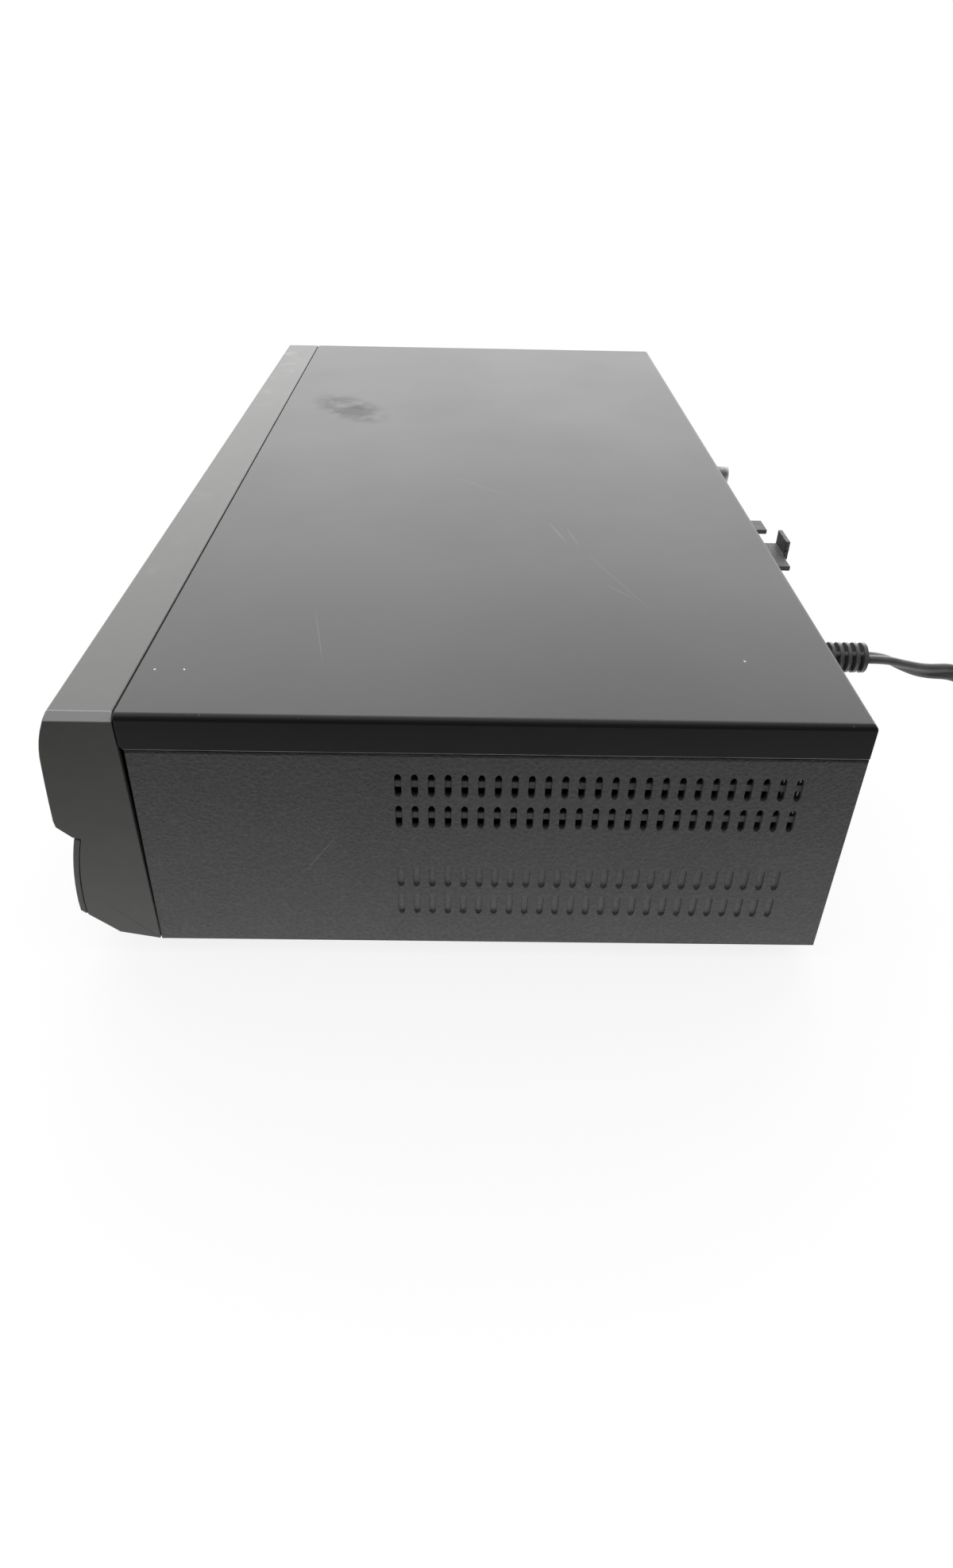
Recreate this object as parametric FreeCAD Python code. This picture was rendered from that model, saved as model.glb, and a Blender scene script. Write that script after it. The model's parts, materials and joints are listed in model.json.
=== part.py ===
import FreeCAD, Part
import math
import os

V = FreeCAD.Vector

# Millimetres. x runs along the front, y from the seam between bezel and body towards
# the rear, z up from the body's bottom edge. Every piece is moved into the part's own
# frame, with its origin under the middle of the whole, when it is saved.

# Case
BODY_WIDTH = 435.0
BODY_HEIGHT = 87.6
BODY_DEPTH = 214.0
FOOT_HEIGHT = 6.4
FOOT_RADIUS = 11.0
FOOT_INSET = 37.5
FOOT_FRONT = 24.0
FOOT_REAR = 24.0
COVER_SHEET = 0.8
COVER_FLANGE = 11.8
COVER_BEND = 2.0
COVER_SEAM = 0.5
PANEL_WALL = 2.4
PANEL_INSET = 0.4
FLOOR_WALL = 2.0
FLOOR_LIFT = 0.4
REAR_WALL = 2.0
SEAM_AT_TOP = 1.6
SEAM_AT_BOTTOM = 0.2
SCREW_RADIUS = 1.5
SCREW_DROP = 6.8
SCREW_INSET = 60.0
FIT_GAP = 0.3
RUN_GAP = 0.05

# Side vents
VENT_COUNT = 25
VENT_PITCH = 4.8825
VENT_FIRST = 78.9
VENT_WIDTH = 2.0
VENT_HEIGHT = 8.2
VENT_ROW_PITCH = 11.64
VENT_TOP_ROW = 23.5
BLIND_ROW = 59.1
BLIND_DEPTH = 1.0
VENT_BAR = 2.4
VENT_BAR_DEPTH = 1.0

# Bezel: depths in front of the seam, and the front door below its step
BEZEL_WALL = 2.4
TOP_DEPTH = 18.2
BROW_DEPTH = 21.4
FACE_DEPTH = 22.75
NOSE_DEPTH = 24.15
STEP_DEPTH = 19.4
STEP_DROP = 44.85
BEZEL_BEVEL = 2.2
DOOR_WALL = 1.8
DOOR_GAP = 0.2
DOOR_MID_DEPTH = 22.2
DOOR_LOW_DEPTH = 23.5
DOOR_LOW_Z = 12.6
CHIN_DEPTH = 13.7
CHIN_Z = 4.05
DOOR_LEFT = 176.9
HINGE_PIN = 0.8
HINGE_LUG = 1.4
HINGE_EAR = 6.0
RECESS_DEPTH = 12.0
RECESS_FLOOR_Z = 16.0
RECESS_WALL = 2.0

# Mechanism and cassette
CASSETTE_WIDTH = 187.0
CASSETTE_HEIGHT = 25.0
REEL_SPAN = 92.0
DECK_MARGIN = 10.5
DECK_SIDE_GAP = 5.7
DECK_FRONT = 8.0
DECK_SHEET = 1.2
CARRIAGE_HEIGHT = 56.4
CARRIAGE_TOP_GAP = 2.4
DRUM_REAR = 46.2
DRUM_RADIUS = 31.0
DRUM_TILT = 5.96
REEL_BACK = 93.0
REEL_RADIUS = 26.0
FLOOR_RISE = 22.5
LOWER_TRAVEL = 17.0
BASKET_FRONT = 17.6
BASKET_DEPTH = 53.0
BASKET_SIDE = 1.5
SHEET = 1.2
SLIDER_SHEET = 2.0
FLAP_SIDE_GAP = 0.5
FLAP_WALL = 2.0
FLAP_RECESS = 0.4
FLAP_PIN = 1.2
GEAR_MODULE = 1.0
CAM_TEETH = 48
PINION_TEETH = 12
GUIDE_ARC = 88.0
GUIDE_REST = 24.4
GUIDE_PARKED = -6.0
REEL_PIN = 2.0
IDLER_REACH = 17.3
IDLER_RADIUS = 12.0
CAPSTAN_PULLEY = 9.0
CLUTCH_PULLEY = 14.0
BELT = 1.2
PINCH_REACH = 21.85
PINCH_ANGLE = 231.2

# Front controls
BUTTON_SIDE = 41.5
BUTTON_PROUD = 1.0
BUTTON_GAP = 0.3
BUTTON_TRAVEL = 0.8
WINDOW_LEFT = 31.0
WINDOW_GAP = 0.15
JACK_RADIUS = 4.15
JACK_BORE = 3.1
JACK_COLLAR = 5.2
JACK_WELL = 7.0
FRONT_JACK_REACH = 10.0
REAR_JACK_REACH = 8.6
BOARD_Y = -6.0
BOARD_SHEET = 1.6
BOARD_SIDE_GAP = 6.0
SWITCH_TOP = -14.2
JACK_Z = 27.0

# Rear
RELIEF_REACH = 25.0
RELIEF_SIDE = 73.6
RELIEF_DROP = 20.3
HOOK_SIDE = 165.5
HOOK_DROP = 17.6
HOOK_TAB = 16.6
HOOK_REACH = 18.5
TUNER_DEPTH = 23.0
TUNER_DROP = 7.6
F_RADIUS = 4.76
F_REACH = 13.8
F_NUT = 6.4

# Cord
CORD_DIAMETER = 4.4
CORD_WIDE = 6.0
CORD_THICK = 3.0
COIL_RADIUS = 42.0
COIL_PITCH = 4.0
COIL_LAYER = 6.8
COIL_TURNS = 3.5
COIL_START = 218.0
COIL_SIDE = 74.7
COIL_BEHIND = 151.3
COIL_LEAD = 25.0
PLUG_WIDE = 22.0
PLUG_NOSE = 14.0
PLUG_LENGTH = 26.0
BLADE_SPAN = 12.7
BLADE_LENGTH = 17.5

# Places that follow from the sizes above
HALF = BODY_WIDTH / 2
TOP = BODY_HEIGHT
INNER = HALF - PANEL_INSET - PANEL_WALL
REAR_FACE = BODY_DEPTH - COVER_SHEET
REAR_INNER = REAR_FACE - REAR_WALL
FLOOR_TOP = FLOOR_LIFT + FLOOR_WALL
DECK_HALF = CASSETTE_WIDTH / 2 + DECK_MARGIN
MECH_X = DECK_SIDE_GAP + DECK_HALF - INNER
DECK_TOP = TOP - COVER_SHEET - CARRIAGE_TOP_GAP - CARRIAGE_HEIGHT
DECK_UNDER = DECK_TOP - DECK_SHEET
DRUM_Y = REAR_INNER - DRUM_REAR
REEL_Y = DRUM_Y - REEL_BACK
BASKET_FLOOR = DECK_TOP + FLOOR_RISE
BASKET_TOP = BASKET_FLOOR + CASSETTE_HEIGHT + 2.5
BASKET_HALF = CASSETTE_WIDTH / 2 + 1.0 + BASKET_SIDE
SLIDER_IN = BASKET_HALF + 2.0
SLIDER_OUT = SLIDER_IN + SLIDER_SHEET
FRAME_IN = SLIDER_OUT + 1.0
LOAD_TRAVEL = REEL_Y + 8.0 - BASKET_FRONT
FLAP_HALF = BASKET_HALF + 3.5
SILL = BASKET_FLOOR - 1.0
HEAD = TOP - 7.2
FLAP_Y = -15.4
FLAP_Z = TOP - 6.4
STEP_Z = TOP - STEP_DROP
DOOR_TOP = STEP_Z - 0.15
DOOR_MID_Z = (DOOR_TOP + 16.5) / 2
PIVOT_Y = DOOR_WALL - DOOR_LOW_DEPTH - 0.3
PIVOT_Z = 11.35
DOOR_X = HALF - DOOR_LEFT
RECESS_LEFT = DOOR_X + 3.4
RECESS_RIGHT = INNER - 2.7
BUTTON_X = HALF - BUTTON_SIDE
BOARD_BACK = BOARD_Y + BOARD_SHEET
WINDOW_X0 = MECH_X + DECK_HALF + WINDOW_LEFT
WINDOW_X1 = BUTTON_X - 49.2
WINDOW_Z0 = TOP - 35.6
WINDOW_Z1 = TOP - 7.6
MAIN_LEFT = MECH_X + DECK_HALF + 5.0
MAIN_Z = FLOOR_TOP + 5.6
MAIN_TOP = MAIN_Z + BOARD_SHEET
MAIN_RIGHT = INNER - 13.0
RELIEF_X = HALF - RELIEF_SIDE
RELIEF_Z = TOP - RELIEF_DROP
HOOK_X = HALF - HOOK_SIDE
HOOK_Z = TOP - HOOK_DROP
TUNER_X = MECH_X + 73.0
TUNER_TOP = TOP - TUNER_DROP
FLOOR_Z = -FOOT_HEIGHT
FRAME_Y = (NOSE_DEPTH - BODY_DEPTH - RELIEF_REACH) / 2
SCREW_Z = TOP - SCREW_DROP
CAPSTAN = (MECH_X + 62.0, DRUM_Y - 25.0)
CLUTCH = (MECH_X, DRUM_Y - 70.0)
CAM = (MECH_X - 72.0, DRUM_Y - 15.0)
PINION = (CAM[0], CAM[1] - GEAR_MODULE * (CAM_TEETH + PINION_TEETH) / 2)
PINCH = (MECH_X + 84.0, DRUM_Y - 23.0)
TENSION = (MECH_X - 80.0, DRUM_Y - 25.0)
REELS = [(MECH_X - REEL_SPAN / 2, REEL_Y), (MECH_X + REEL_SPAN / 2, REEL_Y)]
PULLEY_LOW = DECK_TOP - 20.0
COIL_CENTRE = (HALF - COIL_SIDE, BODY_DEPTH + COIL_BEHIND)
COIL_LOW = FLOOR_Z + CORD_WIDE / 2 + 0.1

BUTTONS = {
    "power_button": (-26.0, 13.4, 16.0, 6.4),
    "channel_down_button": (-7.5, 13.4, 12.0, 6.4),
    "channel_up_button": (7.5, 13.4, 12.0, 6.4),
    "eject_button": (26.0, 13.4, 16.0, 6.4),
    "rewind_button": (-25.0, 24.6, 16.0, 7.0),
    "play_button": (0.0, 24.6, 26.0, 7.0),
    "fast_forward_button": (25.0, 24.6, 16.0, 7.0),
    "record_button": (-25.0, 34.7, 16.0, 6.0),
    "stop_button": (0.0, 34.7, 26.0, 6.0),
    "pause_button": (25.0, 34.7, 16.0, 6.0),
}


def save(name, shape):
    shape = shape.copy()
    shape.translate(V(0, FRAME_Y, FOOT_HEIGHT))
    shape.exportStep("parts/%s.step" % name)


def box(x0, x1, y0, y1, z0, z1):
    return Part.makeBox(x1 - x0, y1 - y0, z1 - z0, V(x0, y0, z0))


def rod(x, y, z, radius, length, axis=(0, 0, 1)):
    return Part.makeCylinder(radius, length, V(x, y, z), V(*axis))


def tube(x, y, z, outer, inner, length, axis=(0, 0, 1)):
    return rod(x, y, z, outer, length, axis).cut(rod(x, y, z, inner, length, axis))


def join(shapes):
    first = shapes[0]
    if len(shapes) > 1:
        first = first.fuse(shapes[1:])
    return first.removeSplitter()


def outline(start, steps, place):
    # A step is the next corner, or the middle and the end of an arc.
    edges = []
    here = start
    for step in steps:
        if isinstance(step[0], tuple):
            edges.append(Part.Arc(place(*here), place(*step[0]), place(*step[1])).toShape())
            here = step[1]
        else:
            edges.append(Part.LineSegment(place(*here), place(*step)).toShape())
            here = step
    return Part.Wire(edges)


def along_x(start, steps, x0, x1):
    wire = outline(start, steps + [start], lambda y, z: V(x0, y, z))
    return Part.Face(wire).extrude(V(x1 - x0, 0, 0))


def upright(points, z0, z1):
    wire = Part.makePolygon([V(x, y, z0) for x, y in points + points[:1]])
    return Part.Face(wire).extrude(V(0, 0, z1 - z0))


def spread_x(points, y0, y1):
    wire = Part.makePolygon([V(x, y0, z) for x, z in points + points[:1]])
    return Part.Face(wire).extrude(V(0, y1 - y0, 0))


def stadium(a, ra, b, rb, z0, z1):
    # Two discs and the straight run between their outer tangents.
    run = math.dist(a, b)
    turn = math.atan2(b[1] - a[1], b[0] - a[0])
    lean = math.acos((ra - rb) / run)
    corners = []
    for centre, radius, side in ((a, ra, 1), (b, rb, 1), (b, rb, -1), (a, ra, -1)):
        angle = turn + side * lean
        corners.append((centre[0] + radius * math.cos(angle), centre[1] + radius * math.sin(angle)))
    return join([rod(a[0], a[1], z0, ra, z1 - z0), rod(b[0], b[1], z0, rb, z1 - z0), upright(corners, z0, z1)])


def deck(u, v):
    return MECH_X + u, DRUM_Y + v


def mirror_x(shape, x=0.0):
    return shape.mirror(V(x, 0, 0), V(1, 0, 0))


# Bezel


def chin_z(y):
    slope = (DOOR_LOW_Z - CHIN_Z) / (DOOR_LOW_DEPTH - CHIN_DEPTH)
    return DOOR_LOW_Z - slope * (y + DOOR_LOW_DEPTH)


def face_steps(back):
    # From the top's front edge down the curved face to the step.
    return [
        (back - TOP_DEPTH, TOP),
        (back - TOP_DEPTH - 1.15, TOP - 2.8),
        ((back - BROW_DEPTH, TOP - 8.3), (back - FACE_DEPTH, TOP - 15.0)),
        ((back - FACE_DEPTH - 0.75, TOP - 25.6), (back - NOSE_DEPTH, TOP - 38.2)),
        (back - NOSE_DEPTH + 0.25, TOP - 40.55),
        (back - STEP_DEPTH, STEP_Z),
    ]


def skin(front, back, x0, x1, z0, z1):
    # A slab that follows the curved face, front and back that far behind it.
    rear = [(10.0, STEP_Z)]
    outer = along_x((10.0, TOP), face_steps(front) + rear, x0, x1)
    inner = along_x((10.0, TOP + 1), [(back - TOP_DEPTH, TOP + 1)] + face_steps(back) + rear, x0, x1)
    return outer.cut(inner).common(box(x0, x1, -40, 9, z0, z1))


def door_arc(shift):
    return [
        (shift - DOOR_LOW_DEPTH, chin_z(shift - DOOR_LOW_DEPTH)),
        (shift - DOOR_LOW_DEPTH, 16.5),
        ((shift - DOOR_MID_DEPTH, DOOR_MID_Z), (shift - STEP_DEPTH + 0.1, DOOR_TOP)),
    ]


def bezel_steps():
    shift = DOOR_WALL + DOOR_GAP
    foot = (shift - DOOR_LOW_DEPTH, 16.5)
    middle = (shift - DOOR_MID_DEPTH, DOOR_MID_Z)
    head = (shift - STEP_DEPTH + 0.1, DOOR_TOP - 0.3)
    low = (shift - DOOR_LOW_DEPTH, chin_z(shift - DOOR_LOW_DEPTH))
    chin = [(-CHIN_DEPTH, CHIN_Z), (1.0 - CHIN_DEPTH, CHIN_Z - 0.95), (-0.2, 0.4), (10.0, 0.4)]
    return face_steps(0.0) + [head, (middle, foot), low] + chin


def hinge_places():
    return [RECESS_LEFT + 9.0, RECESS_RIGHT - 9.0]


def front_bezel():
    start = (10.0, TOP)
    steps = bezel_steps()
    solid = along_x(start, steps, -HALF, HALF)
    edge = spread_x([(HALF - BEZEL_BEVEL, TOP + 0.1), (HALF + 0.1, TOP + 0.1), (HALF + 0.1, TOP - BEZEL_BEVEL)], -30, 10)
    solid = solid.cut([edge, mirror_x(edge)])
    face = Part.Face(outline(start, steps + [start], lambda y, z: V(BEZEL_WALL - HALF, y, z)))
    hollow = face.makeOffset2D(-BEZEL_WALL).extrude(V(BODY_WIDTH - 2 * BEZEL_WALL, 0, 0))
    solid = solid.cut(hollow).common(box(-HALF, HALF, -40, 0, -1, TOP))
    recess = box(RECESS_LEFT - RECESS_WALL, RECESS_RIGHT + RECESS_WALL, -21.4, RECESS_WALL - RECESS_DEPTH,
                 RECESS_FLOOR_Z - RECESS_WALL, DOOR_TOP - 1.0)
    recess = recess.common(along_x(start, steps, -HALF, HALF))
    posts = []
    for x, z, y in bezel_posts():
        posts.append(rod(x, y, z, 2.5, BOARD_Y - y, (0, 1, 0)))
    for side in (-1, 1):
        x = MECH_X + side * (FLAP_HALF + 2.4)
        posts.append(box(x - 1.3, x + 1.3, FLAP_Y - 2.8, FLAP_Y + 2.8, FLAP_Z - 2.2, TOP - BEZEL_WALL + 0.2))
        for z in (30.0, TOP - 4.8):
            x = side * (INNER - 3.4)
            tab = box(x - 1.2, x + 1.2, -22, 7.0, z - 3.4, z + 3.4)
            posts.append(tab.common(along_x(start, steps, -HALF, HALF)))
    ears = []
    for x in hinge_places():
        ear = rod(x - HINGE_EAR / 2, PIVOT_Y, PIVOT_Z, HINGE_LUG, HINGE_EAR, (1, 0, 0))
        arm = box(x - HINGE_EAR / 2, x + HINGE_EAR / 2, PIVOT_Y, PIVOT_Y + 2.5, PIVOT_Z - HINGE_LUG, PIVOT_Z + HINGE_LUG)
        ears.append(ear.fuse(arm))
    cuts = [box(RECESS_LEFT, RECESS_RIGHT, -30, -RECESS_DEPTH, RECESS_FLOOR_Z, DOOR_TOP - 3.0)]
    half = FLAP_HALF + FLAP_SIDE_GAP
    cuts.append(box(MECH_X - half, MECH_X + half, -30, -17.6, SILL, HEAD))
    cuts.append(box(WINDOW_X0 - WINDOW_GAP, WINDOW_X1 + WINDOW_GAP, -30, -17.6, WINDOW_Z0 - WINDOW_GAP, WINDOW_Z1 + WINDOW_GAP))
    for dx, drop, wide, high in BUTTONS.values():
        x = BUTTON_X + dx
        w = wide / 2 + BUTTON_GAP
        h = high / 2 + BUTTON_GAP
        cuts.append(box(x - w, x + w, -30, -17.6, TOP - drop - h, TOP - drop + h))
    for x in jack_places():
        cuts.append(rod(x, -14, JACK_Z, JACK_COLLAR + FIT_GAP, 6, (0, 1, 0)))
    for x in hinge_places():
        for side in (-1, 1):
            near = x + side * (HINGE_EAR / 2 + 1.5) - 1.5
            cuts.append(rod(near, PIVOT_Y, PIVOT_Z, 1.45, 3.0, (1, 0, 0)))
    holes = [rod(x - 5, PIVOT_Y, PIVOT_Z, HINGE_PIN + RUN_GAP, 10, (1, 0, 0)) for x in hinge_places()]
    for side in (-1, 1):
        holes.append(rod(MECH_X + side * (FLAP_HALF + 2.4) - 2, FLAP_Y, FLAP_Z, FLAP_PIN + RUN_GAP, 4, (1, 0, 0)))
    return solid.fuse([recess] + posts).cut(cuts).fuse(ears).cut(holes).removeSplitter()


def bezel_posts():
    return [
        (RECESS_LEFT + 14.0, 23.0, -RECESS_DEPTH + 0.5),
        (RECESS_RIGHT - 8.0, 23.0, -RECESS_DEPTH + 0.5),
        (WINDOW_X1 + 6.2, TOP - 8.0, 0.8 - BROW_DEPTH + 0.6),
    ]


def lower_slab(x0, x1):
    # The wall below the step, which the door and the fixed trim continue side by side.
    inner = door_arc(DOOR_WALL)
    top = (DOOR_WALL - STEP_DEPTH + 0.1, DOOR_TOP - 0.75)
    steps = door_arc(0.0)[1:] + [top, (inner[2][0], inner[1]), inner[0]]
    return along_x(door_arc(0.0)[0], steps, x0, x1)


def lower_trim():
    return lower_slab(-HALF, DOOR_X - 0.4)


def control_door():
    door = lower_slab(DOOR_X, HALF)
    half = HINGE_EAR / 2 + FIT_GAP
    knuckles = []
    for x in hinge_places():
        door = door.cut(box(x - half, x + half, -30, -15, 5, PIVOT_Z + HINGE_LUG + 0.5))
        for side in (-1, 1):
            near = x + side * (HINGE_EAR / 2 + 1.3) - 1.0
            knuckles.append(rod(near, PIVOT_Y, PIVOT_Z, 1.2, 2.0, (1, 0, 0)))
        knuckles.append(rod(x - 4.5, PIVOT_Y, PIVOT_Z, HINGE_PIN, 9.0, (1, 0, 0)))
    return door.fuse(knuckles).removeSplitter()


def display_window():
    return skin(0.0, FLAP_WALL, WINDOW_X0, WINDOW_X1, WINDOW_Z0, WINDOW_Z1)


def cassette_door():
    x0 = MECH_X - FLAP_HALF
    x1 = MECH_X + FLAP_HALF
    door = skin(FLAP_RECESS, FLAP_RECESS + FLAP_WALL, x0, x1, SILL + 0.8, HEAD - 0.4)
    pieces = [door]
    for side in (-1, 1):
        x = MECH_X + side * (FLAP_HALF - 1.8)
        corners = [(-19.6, HEAD - 2.0), (FLAP_Y - 1.6, HEAD - 0.6), (FLAP_Y - 1.6, FLAP_Z), (FLAP_Y + 1.6, FLAP_Z)]
        pieces.append(along_x((-19.6, HEAD - 8.0), corners, x - 1.2, x + 1.2))
        pieces.append(rod(x - 1.2, FLAP_Y, FLAP_Z, 1.7, 2.4, (1, 0, 0)))
        pieces.append(rod(x, FLAP_Y, FLAP_Z, FLAP_PIN, 5.2, (side, 0, 0)))
    grip = box(MECH_X - 60, MECH_X + 60, -21.8, -19.0, SILL + 1.2, SILL + 2.4)
    pieces.append(grip.common(skin(FLAP_RECESS + 1.0, FLAP_RECESS + 3.2, x0, x1, SILL, HEAD)))
    return join(pieces)


def button(dx, drop, wide, high):
    x = BUTTON_X + dx
    z = TOP - drop
    w = wide / 2
    h = high / 2
    cap = skin(-BUTTON_PROUD, BEZEL_WALL + 0.5, x - w, x + w, z - h, z + h)
    rim = skin(BEZEL_WALL + BUTTON_GAP, BEZEL_WALL + 1.4, x - w - 1.2, x + w + 1.2, z - h - 1.2, z + h + 1.2)
    stem = box(x - 2, x + 2, -20.2, SWITCH_TOP - BUTTON_TRAVEL - 0.2, z - 2, z + 2)
    return join([cap, rim, stem])


def jack_places():
    return [BUTTON_X - 26.0, BUTTON_X - 6.0, BUTTON_X + 14.0]


def front_board():
    x0 = WINDOW_X0 - 2.0
    x1 = INNER - BOARD_SIDE_GAP
    pieces = [box(x0, x1, BOARD_Y, BOARD_BACK, 12.0, TOP - 5.6)]
    for dx, drop, wide, high in BUTTONS.values():
        x = BUTTON_X + dx
        z = TOP - drop
        pieces.append(box(x - 3, x + 3, SWITCH_TOP + 4.0, BOARD_Y, z - 2.6, z + 2.6))
        pieces.append(box(x - 1.7, x + 1.7, SWITCH_TOP, SWITCH_TOP + 4.2, z - 1.7, z + 1.7))
    middle = (WINDOW_X0 + WINDOW_X1) / 2
    wide = WINDOW_X1 - WINDOW_X0
    pieces.append(box(middle - wide * 0.42, middle + wide * 0.42, -12.0, BOARD_Y, WINDOW_Z0 + 6, WINDOW_Z1 - 6))
    pieces.append(box(WINDOW_X0 + 4, WINDOW_X0 + 34, BOARD_BACK, BOARD_BACK + 3, 30, 42))
    return join(pieces)


def display_tube():
    middle = (WINDOW_X0 + WINDOW_X1) / 2
    wide = WINDOW_X1 - WINDOW_X0
    return box(middle - wide * 0.44, middle + wide * 0.44, -17.0, -12.0, WINDOW_Z0 + 4.5, WINDOW_Z1 - 4.5)


def phono(x, y, z, side, collar, reach):
    # A phono socket: its collar in the wall's hole, its shell and the well for the plug's pin.
    axis = (0, side, 0)
    body = rod(x, y, z, JACK_RADIUS, reach, axis).fuse(rod(x, y, z, JACK_COLLAR, collar, axis))
    return body.cut(rod(x, y + side * (reach - JACK_WELL), z, JACK_BORE, JACK_WELL + 1, axis))


def front_jacks():
    places = jack_places()
    block = box(places[0] - 6, places[-1] + 6, RECESS_WALL - RECESS_DEPTH, BOARD_Y, JACK_Z - 6, JACK_Z + 6)
    sockets = [phono(x, RECESS_WALL - RECESS_DEPTH, JACK_Z, -1, RECESS_WALL + 0.5, FRONT_JACK_REACH) for x in places]
    return join([block] + sockets)


# Case


def base_pan():
    floor = box(-INNER, INNER, 1.0, REAR_INNER, FLOOR_LIFT, FLOOR_TOP)
    slots = []
    for row in range(3):
        for column in range(10):
            x = INNER - 66.0 + column * 5.0
            y = 86.0 + row * 34.0
            slots.append(box(x, x + 2.2, y, y + 24.0, 0, FLOOR_TOP + 1))
    for row in range(2):
        for column in range(8):
            x = MECH_X - 30.0 + column * 8.0
            slots.append(box(x, x + 2.6, 34.0 + row * 34.0, 58.0 + row * 34.0, 0, FLOOR_TOP + 1))
    pieces = [floor.cut(slots)]
    pieces.append(box(-INNER, INNER, 1.0, 2.6, FLOOR_TOP, FLOOR_TOP + 6))
    for x, y in deck_posts():
        pieces.append(rod(x, y, FLOOR_TOP, 4.0, DECK_UNDER - FLOOR_TOP))
        pieces.append(box(x - 1, x + 1, y - 9, y + 9, FLOOR_TOP, FLOOR_TOP + 12))
    for x, y in board_posts():
        pieces.append(rod(x, y, FLOOR_TOP, 3.5, MAIN_Z - FLOOR_TOP))
    pieces.append(rod(INNER - 8.0, VENT_FIRST + VENT_PITCH, FLOOR_TOP, 3.0, TOP - COVER_SHEET - 4.0 - FLOOR_TOP))
    for y in (84.0, REAR_INNER - 66.0):
        for side in (-1, 1):
            nub = box(side * (INNER - 3.0) - 3.0, side * (INNER - 3.0) + 3.0, y, y + 6.0, -1.2, FLOOR_LIFT)
            pieces.append(nub)
    return join(pieces)


def deck_posts():
    left = MECH_X - DECK_HALF + 6.0
    right = MECH_X + DECK_HALF - 6.0
    return [(left, DECK_FRONT + 10.0), (right, DECK_FRONT + 10.0), (left, DRUM_Y + 27.0), (right, DRUM_Y + 6.0)]


def board_posts():
    posts = []
    for x in (MAIN_LEFT + 8, (MAIN_LEFT + MAIN_RIGHT) / 2, MAIN_RIGHT - 6.0):
        for y in (24.0, REAR_INNER - 14.0):
            posts.append((x, y))
    return posts


def feet():
    discs = []
    for x in (FOOT_INSET - HALF, HALF - FOOT_INSET):
        for y in (FOOT_FRONT, BODY_DEPTH - FOOT_REAR):
            foot = Part.makeCone(FOOT_RADIUS - 1.0, FOOT_RADIUS, FOOT_HEIGHT + FLOOR_LIFT, V(x, y, FLOOR_Z))
            dish = rod(x, y, FLOOR_Z - 1, 4.0, 2.6)
            discs.append(foot.cut(dish))
    return Part.makeCompound(discs)


def slot(x0, x1, y, z, high):
    # An upright slot with rounded ends, cut as eight-sided.
    w = VENT_WIDTH / 2
    h = high / 2
    k = w * 0.42
    points = [(y - w, z - h + w), (y - k, z - h), (y + k, z - h), (y + w, z - h + w),
              (y + w, z + h - w), (y + k, z + h), (y - k, z + h), (y - w, z + h - w)]
    wire = Part.makePolygon([V(x0, a, b) for a, b in points + points[:1]])
    return Part.Face(wire).extrude(V(x1 - x0, 0, 0))


def vent_rows():
    first = TOP - VENT_TOP_ROW
    return [first, first - VENT_ROW_PITCH]


def blind_rows():
    first = TOP - BLIND_ROW
    return [first, first - VENT_ROW_PITCH]


def side_panel(blind):
    face = HALF - PANEL_INSET
    edge = TOP - COVER_FLANGE - 0.3
    top = TOP - COVER_SHEET - 2.6
    front = [(SEAM_AT_BOTTOM, 0.0), (BODY_DEPTH, 0.0), (BODY_DEPTH, edge), (SEAM_AT_TOP, edge)]
    panel = along_x(front[0], front[1:], INNER, face)
    upper = box(INNER, HALF - COVER_SHEET - 0.2, SEAM_AT_TOP, REAR_INNER, edge - 0.1, top)
    panel = panel.fuse(upper).cut(box(INNER - 1, INNER + 0.6, REAR_INNER, BODY_DEPTH + 1, -1, TOP))
    columns = [VENT_FIRST + n * VENT_PITCH for n in range(VENT_COUNT)]
    cuts = []
    for z in vent_rows():
        for y in columns:
            cuts.append(slot(INNER - 1, face + 1, y, z, VENT_HEIGHT))
    if blind:
        for z in blind_rows():
            for y in columns:
                cuts.append(slot(face - BLIND_DEPTH, face + 1, y, z, VENT_HEIGHT))
    panel = panel.cut(cuts)
    bars = []
    for z in vent_rows():
        bars.append(box(INNER, face - VENT_BAR_DEPTH, columns[0] - 3, columns[-1] + 3, z - VENT_BAR / 2, z + VENT_BAR / 2))
    return panel.fuse(bars).removeSplitter()


def top_cover():
    low = TOP - COVER_FLANGE
    outer = box(-HALF, HALF, COVER_SEAM, BODY_DEPTH, low, TOP)
    inner = box(COVER_SHEET - HALF, HALF - COVER_SHEET, -10, REAR_FACE, low - 10, TOP - COVER_SHEET)
    outer = outer.makeFillet(COVER_BEND, top_edges(outer, TOP, HALF, BODY_DEPTH))
    inner = inner.makeFillet(COVER_BEND - COVER_SHEET, top_edges(inner, TOP - COVER_SHEET, HALF - COVER_SHEET, REAR_FACE))
    cover = outer.cut(inner)
    corner = along_x((COVER_SEAM - 1, low - 1), [(COVER_SEAM + 2.2, low - 1), (COVER_SEAM - 1, low + 2.2)], -HALF - 1, HALF + 1)
    holes = [rod(x, REAR_INNER - 2, SCREW_Z, SCREW_RADIUS + 0.1, 8, (0, 1, 0)) for x in screw_places()]
    return cover.cut([corner] + holes)


def screw_places():
    return [SCREW_INSET - HALF, 0.0, HALF - SCREW_INSET]


def top_edges(shape, z, half, rear):
    # The two long top edges and the rear one.
    chosen = []
    for edge in shape.Edges:
        middle = edge.CenterOfMass
        if abs(middle.z - z) < 0.01 and (abs(abs(middle.x) - half) < 0.01 or abs(middle.y - rear) < 0.01):
            chosen.append(edge)
    return chosen


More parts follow.
